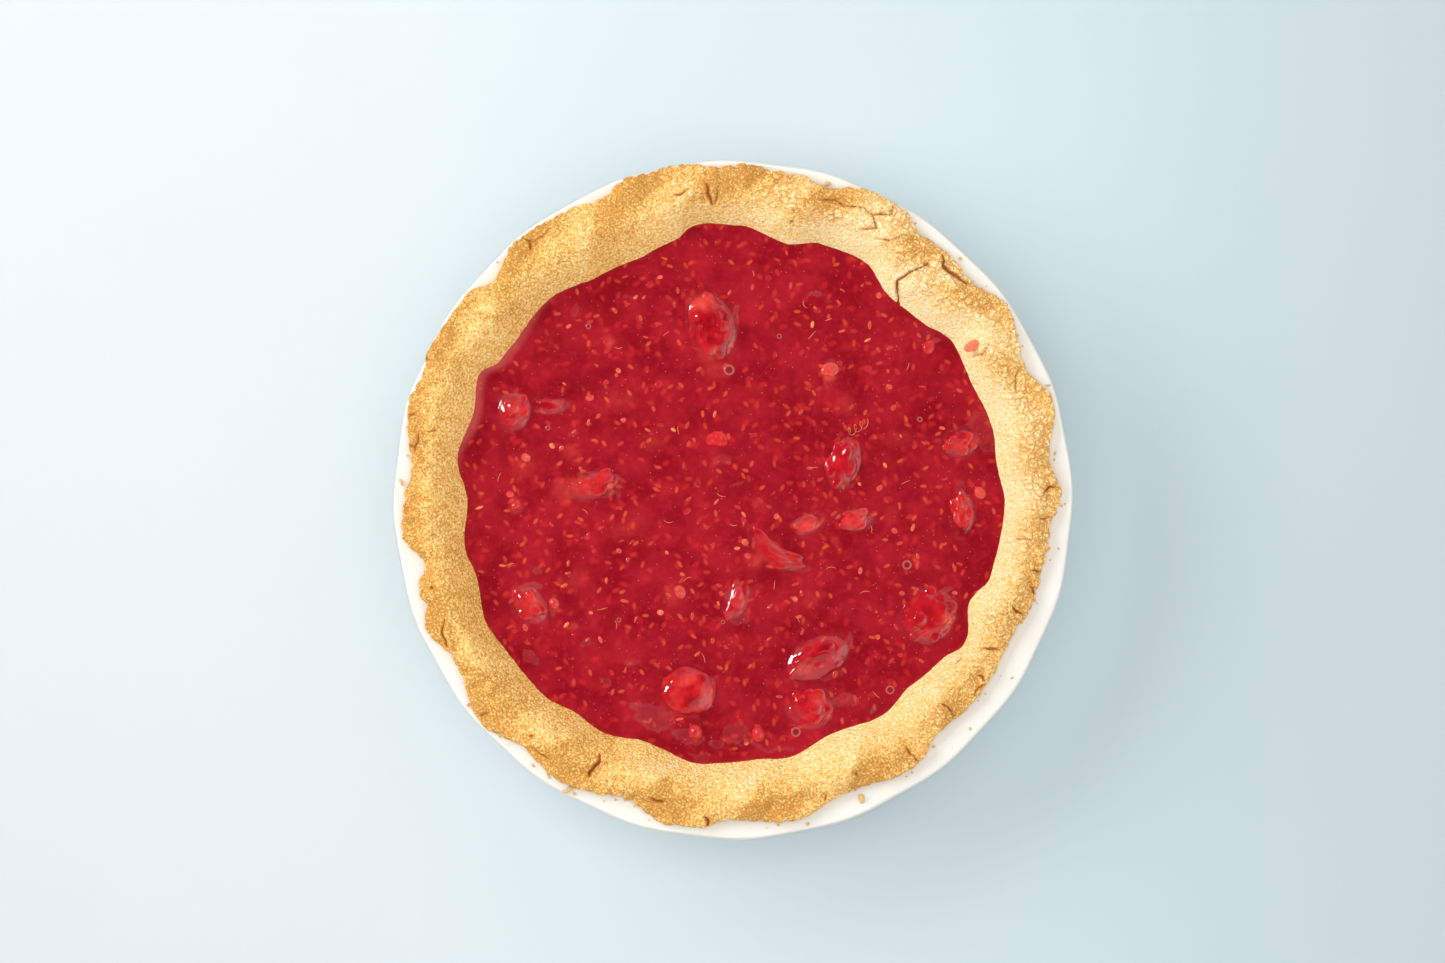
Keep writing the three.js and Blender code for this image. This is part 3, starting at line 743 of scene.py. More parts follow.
def pastryFinish():
    finish = Finish("pastry", IOR=1.3)
    bake, craze, outside = [finish.shade(name) for name in ("bake", "craze", "crackOutside")]
    furrow = finish.faded(finish.cells(2.9, "DISTANCE_TO_EDGE", at=finish.bent(2.6, 2.0)), 0.0, 0.16) * craze
    grain = finish.eased(finish.cells(1.15), 0.15, 0.75)           # sandy grains about 1 mm across
    fine = finish.noise(0.75, detail=3, roughness=0.65)
    crisp = finish.eased(fine, 0.36, 0.64)
    mottle = finish.noise(4.2, detail=4, roughness=0.6)
    pit = finish.dots(2.3, 0.1, 0.24, (0.3, 0.3, 0))
    speck = finish.dots(1.5, 0.1, 0.36, (0.7, 0.1, 0))
    tone = bake + 0.6 * (mottle - 0.5) + 0.65 * (grain - 0.44) + 0.8 * (crisp - 0.49)
    # painted highlights: the pale specks stand in for small glints off sugar and fat
    tone = (tone + 0.2 * pit + 0.42 * furrow - 0.34 * speck + 0.3) / 1.6
    base = finish.ramp(tone, crust["shades"])
    relief = 0.6 * (1 - grain) + 0.55 * fine + 0.3 * mottle - 0.7 * furrow - 0.3 * pit
    # painted shade: the gaps between grains and the furrows are tinted redder, standing in for light that has
    # been round in them
    base = finish.mixed(finish.faded(relief, 0.1, 0.75) * 0.35, base, crust["creviceShade"])
    base = finish.mixed(furrow * 0.4, base, crust["furrow"])
    base = finish.mixed(finish.faded(outside, -0.2, 0.8) * 0.3, base, crust["besideCracks"])
    # painted shade: the inside of each crack is darkened
    dark = finish.faded(outside + 0.9 * (fine - 0.5) + 0.6 * (mottle - 0.5), -0.36, -0.02)
    base = finish.mixed(dark * 0.85, base, crust["crackShade"])
    return finish.done(base, 0.72 + 0.2 * fine, relief, 0.5, 0.9)


def makeCrust():
    degrees = np.linspace(0, 360, crust["around"], endpoint=False)[None]
    outer, inner = crustOuter(degrees), gelEdgeAt(degrees)
    wave = scallopAt(degrees)
    gap = crust["gap"]

    def ring(radius, height):          # radius and height may change round it
        radius, height = np.broadcast_arrays(radius, height, degrees)[:2]
        return raised(polar(degrees, radius), height)

    def onWall(corner, gaps):          # inside a corner of the dish's wall
        radius, height, share = corner[:3]
        inward, up = gaps
        return ring(radius - inward + dish["reach"] * share * wave, height + up + dish["lift"] * share * wave)

    leaves = blendBy(crust["flangeLeaves"], dish["flangeFoot"][0], outer)
    under = [ring(*crust["floor"]), onWall(dish["wallFoot"], crust["wallFootGap"]),
             onWall(dish["wallTop"], crust["wallTopGap"])]
    under += [ring(radius, flangeHeight(radius, degrees) + gap) for radius in (crust["flangeMeets"], leaves)]
    lip = np.linspace(0, 1, crust["lipSteps"])[:, None]            # a quarter turn from underside to side
    lipRadius = outer - crust["lipInward"] * (1 - np.sin(np.pi / 2 * lip)) ** crust["lipPower"]
    lipHeight = flangeHeight(lipRadius, degrees) + gap + crust["lipHeight"] * lip
    rows = np.linspace(0, 1, crust["rowsOver"]) ** crust["rowsPower"]
    radius, height, shades = crustTop(degrees, rows[:, None])
    drop, least = crust["lipDrop"]
    height[:1] = np.maximum(height[:1] - drop, lipHeight[-1:] + least)
    inside = [ring(inner - inward, high) for inward, high in crust["innerWall"]]
    inside.append(ring(*crust["innerFloor"]))
    rings = np.concatenate([*under, ring(lipRadius, lipHeight), ring(radius, height), *inside])
    points, faces = latheBody(rings, crust["floor"][1], crust["innerMiddle"])

    before = len(under) * crust["around"]              # what no shade was worked out for
    after = len(inside) * crust["around"] + 2
    stored = {}
    for name, values in shades.items():
        plain = np.median(values)
        stored[name] = np.concatenate([
            np.full(before, plain), np.tile(values[0], len(lip)), values.ravel(), np.full(after, plain),
        ])
    addPiece("pastry_case", points, faces, pastryFinish(), ["crust"], stored)


makeCrust()
print("pastry made")


# Crumbs and flakes of pastry that fell on the dish

crumbs = {
    # angle, radius, half length, half width
    "placed": [
        (176.9, 125.5, 1.6, 0.7), (73.4, 124.7, 1.3, 0.9), (240.3, 125.9, 2.4, 1.0), (293.3, 122.7, 1.8, 1.2),
        (283, 125.5, 0.8, 0.6), (236, 124.8, 0.8, 0.6), (316, 124.4, 0.7, 0.5), (20, 126.6, 1.2, 0.4),
        (351.5, 124.4, 0.5, 0.4), (327.5, 125, 0.6, 0.4), (236.5, 125.8, 0.6, 0.5),
    ],
    "count": 56,
    "half": (0.2, 0.6),
    "longer": (1.0, 1.7),              # their length, in widths
    "thick": 0.75,
    "raised": 0.8,                     # their middle over the dish, in half thicknesses
    "tilt": 0.1,                       # radians
    "jostle": (0.3, 0.9, 63),          # reach in half widths, size, seed
    "beyond": (0.4, 2.6),              # how far from the pastry's edge they lie
    "farthest": 126.6,
    "bake": (0.2, 0.7),
    "steps": 4,
    "seed": 61,
}


def makeCrumbs():
    rng = np.random.default_rng(crumbs["seed"])
    count = crumbs["count"]
    degrees = rng.uniform(0, 360, count)
    radius = crustOuter(degrees) + rng.uniform(*crumbs["beyond"], count)
    half = rng.uniform(*crumbs["half"], count)
    loose = np.column_stack([degrees, radius, half * rng.uniform(*crumbs["longer"], count), half])
    loose = loose[radius < crumbs["farthest"]]
    placed = np.array(crumbs["placed"], float)
    placed = placed[placed[:, 1] > crustOuter(placed[:, 0])]
    degrees, radius, long, wide = np.concatenate([placed, loose]).T
    thick = crumbs["thick"] * wide
    count = len(thick)
    places = raised(polar(degrees, radius), flangeHeight(radius, degrees) + crumbs["raised"] * thick)
    points, faces, shape = ballsAt(crumbs["steps"], places, np.column_stack([long, wide, thick]),
                                   rng.uniform(0, 2 * np.pi, count), rng.normal(0, crumbs["tilt"], count))
    reach, size, seed = crumbs["jostle"]
    points = jostled(points, reach * np.repeat(wide, len(shape))[:, None], size, seed)
    bake = np.repeat(rng.uniform(*crumbs["bake"], count), len(shape))
    shades = {"bake": bake, "craze": 0 * bake, "crackOutside": 0 * bake + crust["markReach"]}
    addPiece("pastry_crumbs", points, faces, bpy.data.materials["pastry"], (), shades)


makeCrumbs()
print("crumbs made")


# The berries. Their places come from their nodes; what they look like is here.

berries = {
    "grid": 26,                        # steps along each side of the ball grid
    "seed": 300,
    "astray": 0.16,                    # how far the drupelets lie off their even spiral
    "sizes": (0.85, 1.15),
    "share": 0.62,                     # a drupelet's radius against the even spacing of all of them
    "core": 0.3,                       # how much of the swell the core gives up
    "crease": 0.035,
    "press": 0.85,                     # how much of what stands past a cut is pushed back
    "wrinkle": (0.16, 2.2, 310),       # reach, size, seed
    "ripeness": (0.18, 4.0, 320),
    "apart": 50,                       # keeps the noise of one berry from that of the next, mm
    "shades": colours((0.0, 228, 74, 66), (0.35, 210, 40, 44), (0.7, 184, 20, 34), (1.0, 146, 10, 24)),
    # painted shade in the creases between drupelets
    "creaseShade": colour(150, 14, 26),
}
# turn is the direction of a berry's long side; bend curls its ends; drupelets is how many stand out, and
# swell how far; soft is how rounded the creases are; ripe shifts its colour; bare is how far the gel's skin
# stays below its smooth form, in mm; cuts are flats pressed on it: direction, tilt, place in half sizes.
berryTraits = ["turn", "bend", "drupelets", "swell", "soft", "ripe", "bare", "cuts"]
berryLooks = {
    "berry_round": (0, 0, 16, 0.05, 14, 0.62, 2.2, []),
    "berry_broken": (108, 0.8, 12, 0.16, 20, 0.75, 0.8, [(-90, 25, 0.62), (70, 35, 0.7)]),
    "berry_rough": (48, 0, 18, 0.24, 22, 0.75, 0.9, []),
    "berry_tailed": (28, -1.6, 14, 0.14, 18, 0.75, 0.7, [(-110, 32, 0.72)]),
    "berry_sunk": (10, 0, 16, 0.14, 18, 0.6, 0.8, []),
    "berry_tall": (72, 1, 14, 0.2, 20, 0.7, 0.8, []),
    "berry_curled": (-32, 4, 14, 0.16, 18, 0.5, 0.8, []),
    "berry_thin": (70, 1, 12, 0.14, 18, 0.5, 0.6, []),
    "berry_low": (18, 1, 14, 0.16, 18, 0.55, 0.4, []),
    "berry_left": (80, 0, 12, 0.2, 18, 0.5, 0.7, []),
    "berry_strip": (-6, 0.5, 10, 0.1, 18, 0.7, 0.5, []),
    "berry_lower_left": (-52, 0.8, 13, 0.2, 20, 0.5, 0.7, []),
    "berry_pair_small": (22, 0, 11, 0.14, 18, 0.35, 0.7, []),
    "berry_pair_large": (16, 0.6, 12, 0.14, 18, 0.4, 0.6, []),
    "berry_right": (14, 0, 13, 0.16, 18, 0.45, 0.6, []),
    "berry_cluster": (98, 0.8, 15, 0.24, 22, 0.45, 0.9, []),
}
berryLooks = {node: dict(zip(berryTraits, row)) for node, row in berryLooks.items()}

# Soft patches on the berries and the gel: x, y, half length, half width, turn, strength.
patches = {
    "coral": [              # pale pulp close under the skin; the first, on the round berry's top, and (-11.4, 74.9), on the broken berry's top, are painted sheen
        (-17.5, -68.4, 6, 2.6, 20, 0.9), (-22, -73.5, 3, 3.4, 0, 0.3), (-11, -72, 3, 4, 0, 0.35),
        (-11.4, 74.9, 7.2, 4.4, 8, 1.0), (-8.7, 55, 5.5, 4, 0, 0.5), (26.6, -64.8, 5, 2.8, 10, 0.7),
        (32.4, -75.5, 5, 4, 0, 0.45), (81.7, -45.4, 2.6, 3.6, 20, 0.8), (73, -50.6, 2.6, 2.6, 0, 0.9),
        (8.4, -22.8, 5, 4, -20, 0.55), (1.8, -38.8, 2.8, 4, 60, 0.5), (28.4, -10.6, 5, 2.6, 22, 0.8),
        (44.8, -8.4, 4.6, 2.2, 16, 0.6), (38.8, -16, 4.4, 2, -55, 0.5), (84.4, 20.5, 3.8, 2.4, 10, 0.6),
        (91, 23.6, 3, 3.2, 0, 0.5), (87, -3, 3, 3, 0, 0.5), (89.6, -8, 3, 3.6, 0, 0.5),
        (94.6, 2.4, 2.8, 2.2, 0, 0.6), (-82.6, 34, 5, 3, 0, 0.5), (-82.5, -2, 3.4, 4, -40, 0.7),
        (-61.9, 3.8, 12, 5.4, 15, 0.6), (-79, 13, 7, 7, 0, 0.35), (-77.4, -39.4, 4.6, 4.4, 0, 0.6),
        (-61.6, 18.6, 5, 3, 0, 0.5), (-47.3, 60.4, 2.9, 3.4, -20, 0.75), (36.7, 47.6, 3.2, 6.8, 0, 0.9),
        (43, 36, 6, 5, 0, 0.3), (-6, 49, 7, 5, 0, 0.35), (-44, 38, 9, 6, 0, 0.3), (-60, -30, 8, 5, 20, 0.25),
        (-66, -42, 3, 2, 0, 0.3), (-40, -10, 10, 7, 30, 0.2), (30, -38, 6, 4, 0, 0.25),
        (-30, 22, 8, 6, 0, 0.25), (62, 24, 7, 5, 0, 0.2), (-60, -48, 2.4, 2, 0, 0.7),
        (-24, -36, 5, 6, 0, 0.35), (10, -2, 5, 3, -20, 0.3), (60, -6, 4, 5, 0, 0.25),
    ],
    "sheenAndSkin": [               # painted sheen, standing in for the room's light on tilted gel, and thin pale skins
        (-29.6, -82.4, 10, 5.2, -20, 0.75), (-17, -89.6, 8, 3, -15, 0.6), (0.4, -88.6, 5.4, 4, 10, 0.6),
        (-6.8, -93, 4, 1.8, 0, 0.5), (9, -93.2, 6, 0.8, -25, 0.5), (-11.8, -98, 4, 2, 0, 0.45),
        (18, -95, 6, 0.8, 5, 0.5), (36, -66.2, 7, 2.2, 10, 0.5), (42.2, -57.4, 7.4, 1.8, 72, 0.65),
        (24.7, -58.1, 2.6, 1.3, 35, 0.8), (22.8, -80.6, 3.6, 2.6, -40, 0.5), (43.2, -76, 5.4, 2.4, 8, 0.65),
        (36, -74.6, 3, 4, 30, 0.4), (0.6, 66.5, 9, 1.6, 84, 0.75), (-2.3, 58.7, 3.2, 1.4, 48, 0.6),
        (-6, 72.4, 3.4, 1.2, 20, 0.6), (11.4, -15.4, 4.2, 2, -12, 0.6), (16.2, -19.2, 4.4, 2.4, -48, 0.6),
        (20.8, -23.8, 4.4, 1.8, -50, 0.5), (25.6, -26.4, 3.8, 1.5, 6, 0.5), (0, -34.2, 5, 1.8, 55, 0.75),
        (1.5, -44.5, 5.6, 2.6, -15, 0.6), (26.4, -7.6, 4.6, 1.4, 25, 0.8), (48.6, -4.7, 3.4, 1.5, 0, 0.75),
        (51.6, -8.2, 2, 3.2, 0, 0.65), (45.2, 16, 5.4, 1.3, 82, 0.5), (42.6, 4.9, 4, 1, 10, 0.5),
        (95.4, 27.2, 5.6, 9.2, 12, 0.5), (84.6, 22, 3.4, 0.8, 12, 0.7), (84.8, 18.6, 4.2, 0.9, 8, 0.6),
        (90, 29.4, 3, 0.7, 30, 0.6), (86.2, 4.6, 2.4, 3, 0, 0.5), (88.8, 0.6, 2.4, 0.7, 60, 0.6),
        (91.4, -4, 0.8, 4, 15, 0.6), (-84.7, 39, 5.2, 1.8, 12, 0.85), (-81.3, 30, 3.8, 1.4, 8, 0.5),
        (-65.7, 36.4, 4.2, 2, -8, 0.8), (-71.6, 33.6, 4.4, 0.8, 0, 0.7), (-55.2, 9.8, 4.4, 1.2, -6, 0.6),
        (-46, 9, 3.4, 1.4, -20, 0.55), (-43.8, 4.6, 1.2, 4.4, 0, 0.55), (-48.4, 1.8, 3.6, 1, 20, 0.5),
        (-77.3, -33.3, 5.2, 1.4, 5, 0.85), (-68.2, -40.2, 1.5, 4.6, -8, 0.65),
        (-74.5, -26.6, 2.6, 1.5, 0, 0.6), (-77.1, -60, 3.6, 2.3, -30, 0.55), (-39.1, -62, 3.2, 1.6, 10, 0.5),
        (-56.2, -54, 2.6, 1.4, 30, 0.4), (-48.6, -68.4, 2.6, 1.4, -30, 0.45),
        (-60.8, 24.7, 2.2, 1.1, 20, 0.5), (31.2, 78, 3.8, 0.9, -4, 0.7), (36, 75.6, 2, 0.6, 5, 0.4),
        (73, 62.6, 4, 3, -30, 0.3), (76.4, 60, 2.2, 0.9, 10, 0.7), (36.5, 51, 1.8, 2.6, 0, 0.5),
        (-4.6, 15.6, 4.2, 1.6, 5, 0.5), (79.4, -35.2, 4.4, 1, 22, 0.7), (72.4, -52, 5, 2.6, -20, 0.5),
        (83.6, -40, 1, 3.4, 10, 0.5), (-60, 72, 1.4, 2.6, -15, 0.4), (2, 7, 3, 0.6, 20, 0.4),
        (-39, 76.6, 2.6, 0.8, 0, 0.5),
    ],
    "dark": [               # deep clear gel; the first, on the round berry's lower side, is painted shade
        (-16, -76.4, 4, 2.6, 10, 0.7), (4.6, 62.7, 9, 3, 80, 0.8), (-73.3, 36.4, 4.2, 1.8, 0, 0.9),
        (97.3, 20.1, 1.5, 3.4, 10, 0.8), (81.7, 58.9, 5, 4, -30, 0.6), (-60, 44, 14, 6, 10, 0.6),
        (-74, -27.6, 6, 4, 0, 0.5), (-60, -42, 5, 12, 0, 0.55), (-68, 60, 12, 6, 50, 0.5),
        (-48, 78, 12, 6, 30, 0.4), (0, 74, 6, 8, 0, 0.3), (22, -17, 5, 12, 50, 0.5),
        (86, -11.6, 8, 3, 0, 0.8), (81, -9, 3, 6, 0, 0.6), (8, -50, 12, 4, -15, 0.4), (88, 10, 3, 8, 0, 0.4),
        (54, 14, 4, 12, 0, 0.35), (-12, -84, 6, 4, -30, 0.5), (-2, -97, 10, 3, 0, 0.6),
        (16, -88, 4, 6, 0, 0.4), (52, -80, 12, 5, 20, 0.4), (-42, -92, 12, 4, -25, 0.5),
        (-20, -64, 14, 3, 10, 0.35), (32, -70, 12, 2, 0, 0.5), (40, 84, 14, 6, -20, 0.3),
        (-36, 9, 6, 5, 0, 0.4), (70, -30, 9, 5, 20, 0.35), (-20, 36, 8, 5, 20, 0.3), (50, -30, 7, 4, 0, 0.3),
        (90, -24, 3, 10, 5, 0.3), (-88, 20, 3, 12, 5, 0.35),
    ],
}
# where each kind starts and ends to fade, and how rimmed it is
patchEdge = {"coral": (0.2, 1.1, 0), "sheenAndSkin": (0.78, 1.02, 1), "dark": (0.1, 1.1, 0)}
patchLook = {
    "wander": (1.1, 4.5, 351),         # how the outlines wander: reach, size, seed
    "ragged": (0.3, 2.6, 357),
    "rim": (0.85, 0.35),               # a painted highlight line round a rimmed patch: its place, and its width in mm
    # deep gel and painted shade
    "dark": colour(124, 12, 24),
    "coral": (colour(214, 38, 42), colour(232, 96, 84)),
    # the painted sheen's colours
    "sheenAndSkin": (colour(140, 48, 56), colour(186, 84, 84)),
}


def patchAt(kind, spots):              # how strongly the patches of a kind cover each spot
    strongest = np.zeros(spots.shape[:-1])
    bent = wandering(spots, *patchLook["wander"])
    ragged = uneven(spots, *patchLook["ragged"])
    solid, gone, rimmed = patchEdge[kind]
    rimAt, rimWidth = patchLook["rim"]
    for x, y, long, wide, turn, strength in patches[kind]:
        own = turned(bent - (x, y), -turn)
        away = np.hypot(own[..., 0] / long, own[..., 1] / wide) + ragged
        rim = bell((away - rimAt) * min(long, wide), rimWidth)
        shown = fade(away, solid, gone) * (1 + rimmed * (0.9 * rim - 0.45))
        strongest = np.maximum(strongest, strength * shown)
    return strongest


def berryFit(node):        # the box of a berry's node in the berry's own, unturned frame
    own = turned(nodeCorners(node), -berryLooks[node]["turn"])
    return own.min(0), own.max(0)


berryBoxes = {node: berryFit(node) for node in berryLooks}


def spiralDirections(count):           # directions spread evenly over a ball along a golden-angle spiral
    k = np.arange(count)
    z = 1 - (2 * k + 1) / count
    flat = np.sqrt(1 - z * z)
    golden = np.pi * (3 - np.sqrt(5))
    return np.stack([flat * np.cos(golden * k), flat * np.sin(golden * k), z], -1)


def berrySkin(directions, berry, seed):
    # In each direction the skin lies where the farthest of its lumps ends, with the creases between lumps
    # softened: a logarithm of summed exponentials. A lump is a ball; a ray leaves it at the larger root.
    rng = np.random.default_rng(seed)
    count = berry["drupelets"]
    centres = spiralDirections(count) + berries["astray"] * rng.normal(size=(count, 3))
    centres = centres / np.linalg.norm(centres, axis=1, keepdims=True)
    spacing = np.sqrt(4.2 / count)     # between neighbours spread evenly over a ball
    sizes = spacing * rng.uniform(*berries["sizes"], count) * berries["share"]
    centres = centres * (1 + berry["swell"] - sizes)[:, None]
    centres = np.concatenate([[[0, 0, 0]], centres])
    sizes = np.concatenate([[1.0 - berries["core"] * berry["swell"]], sizes])
    along = directions @ centres.T
    inside = along**2 - (centres**2).sum(1) + sizes**2
    ends = np.where(inside > 0, along + np.sqrt(np.maximum(inside, 0)), 0)
    soft = berry["soft"]
    reach = np.log(np.exp(soft * ends).sum(1)) / soft
    order = np.sort(ends, axis=1)
    return reach, bell(order[:, -1] - order[:, -2], berries["crease"], 1)


def pressedFlat(points, cuts):         # what stands past a tilted plane is pushed back towards it
    for direction, tilt, out in cuts:
        slope, turn = np.radians(tilt), np.radians(direction)
        normal = np.array([np.sin(slope) * np.cos(turn), np.sin(slope) * np.sin(turn), np.cos(slope)])
        past = points @ normal - out
        points = points - np.where(past > 0, past * berries["press"], 0)[:, None] * normal
    return points


def painted(finish, base, coralStrength):              # a base colour under the three kinds of patch: dark gel with some painted shade, pale pulp with some painted sheen, and painted sheen with pale skins
    base = finish.mixed(finish.shade("dark") * 0.75, base, patchLook["dark"])
    cloud = finish.noise(2.6, detail=3, shift=(0.2, 0.6, 0))
    deep = finish.mixed(cloud, *patchLook["coral"])
    base = finish.mixed(finish.shade("coral") * coralStrength * (0.45 + 0.8 * cloud), base, deep)
    # painted sheen and pale skins over the rest
    pale = finish.mixed(finish.noise(3.4), *patchLook["sheenAndSkin"])
    return finish.mixed(finish.shade("sheenAndSkin") * 0.7, base, pale)


def berryFinish():
    finish = Finish("berry", IOR=1.52, **flesh(0.2, 0.004, 0.25, 0.2))
    cloud = finish.noise(3.4, detail=3)
    streak = finish.noise(1.1)
    tone = finish.shade("ripe") + 0.9 * (cloud - 0.5) + 0.35 * (streak - 0.5)
    base = finish.ramp(tone, berries["shades"])
    # painted shade: the creases between drupelets darkened
    base = finish.mixed(finish.shade("crease") * 0.35, base, berries["creaseShade"])
    return finish.done(painted(finish, base, 0.9), 0.05 + 0.08 * streak, cloud + 0.4 * streak, 0.2, 0.4)


def makeBerries():
    finish = berryFinish()
    directions, quads = ballGrid(berries["grid"])
    for k, (node, berry) in enumerate(berryLooks.items()):
        reach, crease = berrySkin(directions, berry, berries["seed"] + k)
        shape = pressedFlat(directions * reach[:, None], berry["cuts"])
        low, high = berryBoxes[node]
        half = (high - low) / 2
        shape = shape * half
        wrinkle = uneven(shape + berries["apart"] * k, *berries["wrinkle"])
        shape = shape + directions * wrinkle[:, None]
        shape[:, 1] += berry["bend"] * (shape[:, 0] / half[0]) ** 2
        spread = (shape - shape.min(0)) / (shape.max(0) - shape.min(0))
        points = turned(low + spread * (high - low), berry["turn"])
        shades = {kind: patchAt(kind, points[:, :2]) for kind in patches}
        shades["ripe"] = varying(shape + berries["apart"] * k, berry["ripe"], *berries["ripeness"])
        shades["crease"] = crease
        piece = node.replace("berry_", "raspberry_")
        addPiece(piece, points, quads.tolist(), finish, [node], shades)


makeBerries()
print("berries made")


# The gel

gel = {
    "grid": 300,
    "swell": (0.3, 24, 403),           # height, size, seed
    "swellFrom": 12,                   # how far from the pastry the swell is in full
    "edgeRise": 0.25,                  # how far it climbs the pastry, and over what width
    "edgeVary": (1, 0.35, 17, 401),
    "edgeWidth": 1.8,
    "blend": 1.3,                      # how softly it climbs the berries
    "narrowest": 2.5,                  # the least half width of a berry under it
    "drupelets": (3.8, 0.7),           # size and height of the lumps that show through it over the berries
    # dents and bumps of its skin: x, y, radius, height
    "bumps": [
        (-6.5, 15.6, 7.2, 0.9), (0, 0, 9, 0.15), (-78.7, 16, 4, 0.5), (-82.5, -1.9, 4, 0.5),
        (18.6, 49, 6, 0.3), (-37, 42, 6, 0.25), (-47, 20, 8, 0.3), (60, 50, 5, 0.4), (22, 52, 5, 0.25),
        (54.6, 43.7, 4, 0.3),
        (-31, -30, 7, 0.25), (-20, -86, 13, 1.0), (3, -88, 9, 1.1), (12, -92, 8, 0.7), (52, -78, 7, 0.8),
        (-12, -95, 9, 0.7), (52, -62, 6, 0.5), (-57, -33, 6, 0.35), (-41, -15, 8, 0.2), (66, 2, 5, 0.4),
        (-58, -54, 7, 0.3), (-48, -60, 6, 0.4), (70, -26, 6, 0.3), (34, 6, 5, 0.3), (24, 66, 5, 0.3),
        (36.5, 48, 6, 0.8), (-47.3, 60.4, 4, 0.6), (31.2, 78, 4, 0.4), (-61, 18, 5, 0.5), (-77, -60, 4, 0.5),
    ],
    "ripples": [(0.05, 2.6, 411), (0.03, 1.3, 412)],   # height, size, seed
    # the hidden sides: how far outside its edge, and height; then the floor
    "sides": [(0.4, 32.9), (-2.4, 31.0), (-7.45, 24.4)],
    "floor": (84.0, 11.8),
    "middle": 10.4,
    "sheenBand": (125, 178, 3.0),           # a painted sheen band where the gel climbs the pastry: from and to, degrees, and width
    "bandEnds": (22, 14),              # over how many degrees it starts and ends
    "shades": (colour(141, 14, 30), colour(168, 28, 42)),
    "pulp": colour(191, 36, 48),
    "pale": colour(195, 50, 52),
    "deep": colour(129, 11, 25),
    # seeds that show dimly from below: spacing, half length, half width, softness, share kept, shift,
    # strength, colour
    "seedMarks": [
        (7.5, 2.2, 1.3, 1.0, 0.46, (0.21, 0.13, 0), 0.45, colour(208, 44, 46)),
        (7.0, 1.9, 1.1, 1.0, 0.4, (0.57, 0.33, 0), 0.5, colour(210, 60, 50)),
        (7.6, 1.8, 0.9, 1.0, 0.38, (0.83, 0.71, 0), 0.55, colour(220, 78, 54)),
        (9.6, 1.6, 0.8, 0.8, 0.36, (0.11, 0.45, 0), 0.6, colour(226, 94, 60)),
    ],
    "overBerries": colour(200, 30, 40),
    "speck": colour(232, 140, 130),
    "sheenBesidePastry": colour(200, 84, 86),
    "thinEdge": colour(150, 40, 24),
}


def berryCover(spots):
    # The height of the nearest berry's smooth form, an ellipsoid in its box less what stays bare, and how far
    # a spot lies outside its outline; less than 0 inside it.
    cap = np.full(spots.shape[:-1], -np.inf)
    nearest = np.full(spots.shape[:-1], np.inf)
    for node, (low, high) in berryBoxes.items():
        berry = berryLooks[node]
        own = turned(spots, -berry["turn"])
        middle, half = (low + high) / 2, (high - low) / 2
        x = (own[..., 0] - middle[0]) / half[0]
        narrow = max(half[1] - abs(berry["bend"]) / 2, gel["narrowest"])
        y = (own[..., 1] - middle[1] - berry["bend"] * (x**2 - 0.5)) / narrow
        away = np.hypot(x, y)
        nearest = np.minimum(nearest, (away - 1) * min(half[0], half[1]))
        form = middle[2] + half[2] * np.sqrt(np.maximum(1 - away**2, 0)) - berry["bare"]
        cap = np.maximum(cap, np.where(away < 1, form, -np.inf))
    return cap, nearest


def gelTop(spots):
    # A level sheet with a slow swell, soft bumps and a square-law climb at the pastry, joined to the berries'
    # covers by a rounded maximum. Gives its height, how far inside the pastry and outside the berries a spot
    # lies, and how far the berries lift it.
    inward = gelEdgeAt(degreesOf(spots)) - np.hypot(spots[..., 0], spots[..., 1])
    climb = gel["edgeRise"] * varying(spots, *gel["edgeVary"])
    level = crust["gelLevel"] + climb * np.clip(1 - inward / gel["edgeWidth"], 0, 1.2) ** 2
    level = level + uneven(spots, *gel["swell"]) * ease(inward, 0, gel["swellFrom"])
    ragged = 0.3 * softNoise(spots, 5, 409)
    for x, y, size, high in gel["bumps"]:
        away = np.hypot(spots[..., 0] - x, spots[..., 1] - y) / size
        level = level + high * fade(away + ragged, 0, 1)
    for ripple in gel["ripples"]:
        level = varying(spots, level, *ripple)
    cap, outside = berryCover(spots)
    size, high = gel["drupelets"]
    cap = np.where(cap > 0, cap + high * (0.6 - nearestCells(spots, size, 415)[0]), cap)
    blend = gel["blend"]
    share = np.clip(0.5 + 0.5 * (cap - level) / blend, 0, 1)
    height = blendBy(share, level, np.maximum(cap, level - blend)) + blend * share * (1 - share)
    return height, inward, outside, share


def seedMarks(finish, spacing, long, wide, soft, kept, shift):
    # Ellipses, one to a cell, each turned its own way: where the offset from the cell's point, turned and
    # divided by the half sizes, is shorter than 1.
    cell = finish.cells(spacing, dimensions="2D", shift=shift)
    offset = finish.vector("SUBTRACT", finish.place(shift), cell.named("Position"))
    parts = finish.node("SeparateXYZ", {0: offset})
    x, y = parts.named("X"), parts.named("Y")
    draw = finish.node("SeparateColor", {0: cell.named("Color")})
    turn = draw.named("Red") * 6.283                   # radians, a full turn
    turnCos, turnSin = finish.maths("COSINE", turn), finish.maths("SINE", turn)
    along = (x * turnCos + y * turnSin) / (long * mm)
    side = (y * turnCos - x * turnSin) / (wide * mm)
    inside = 1 - (along * along + side * side)
    crowd = 1.1 * (finish.noise(22, shift=(0.9, 0.4, 0)) - 0.5)        # thicker in some parts
    return finish.eased(inside, 0.0, soft) * (1 - (draw.named("Green") > kept + crowd))


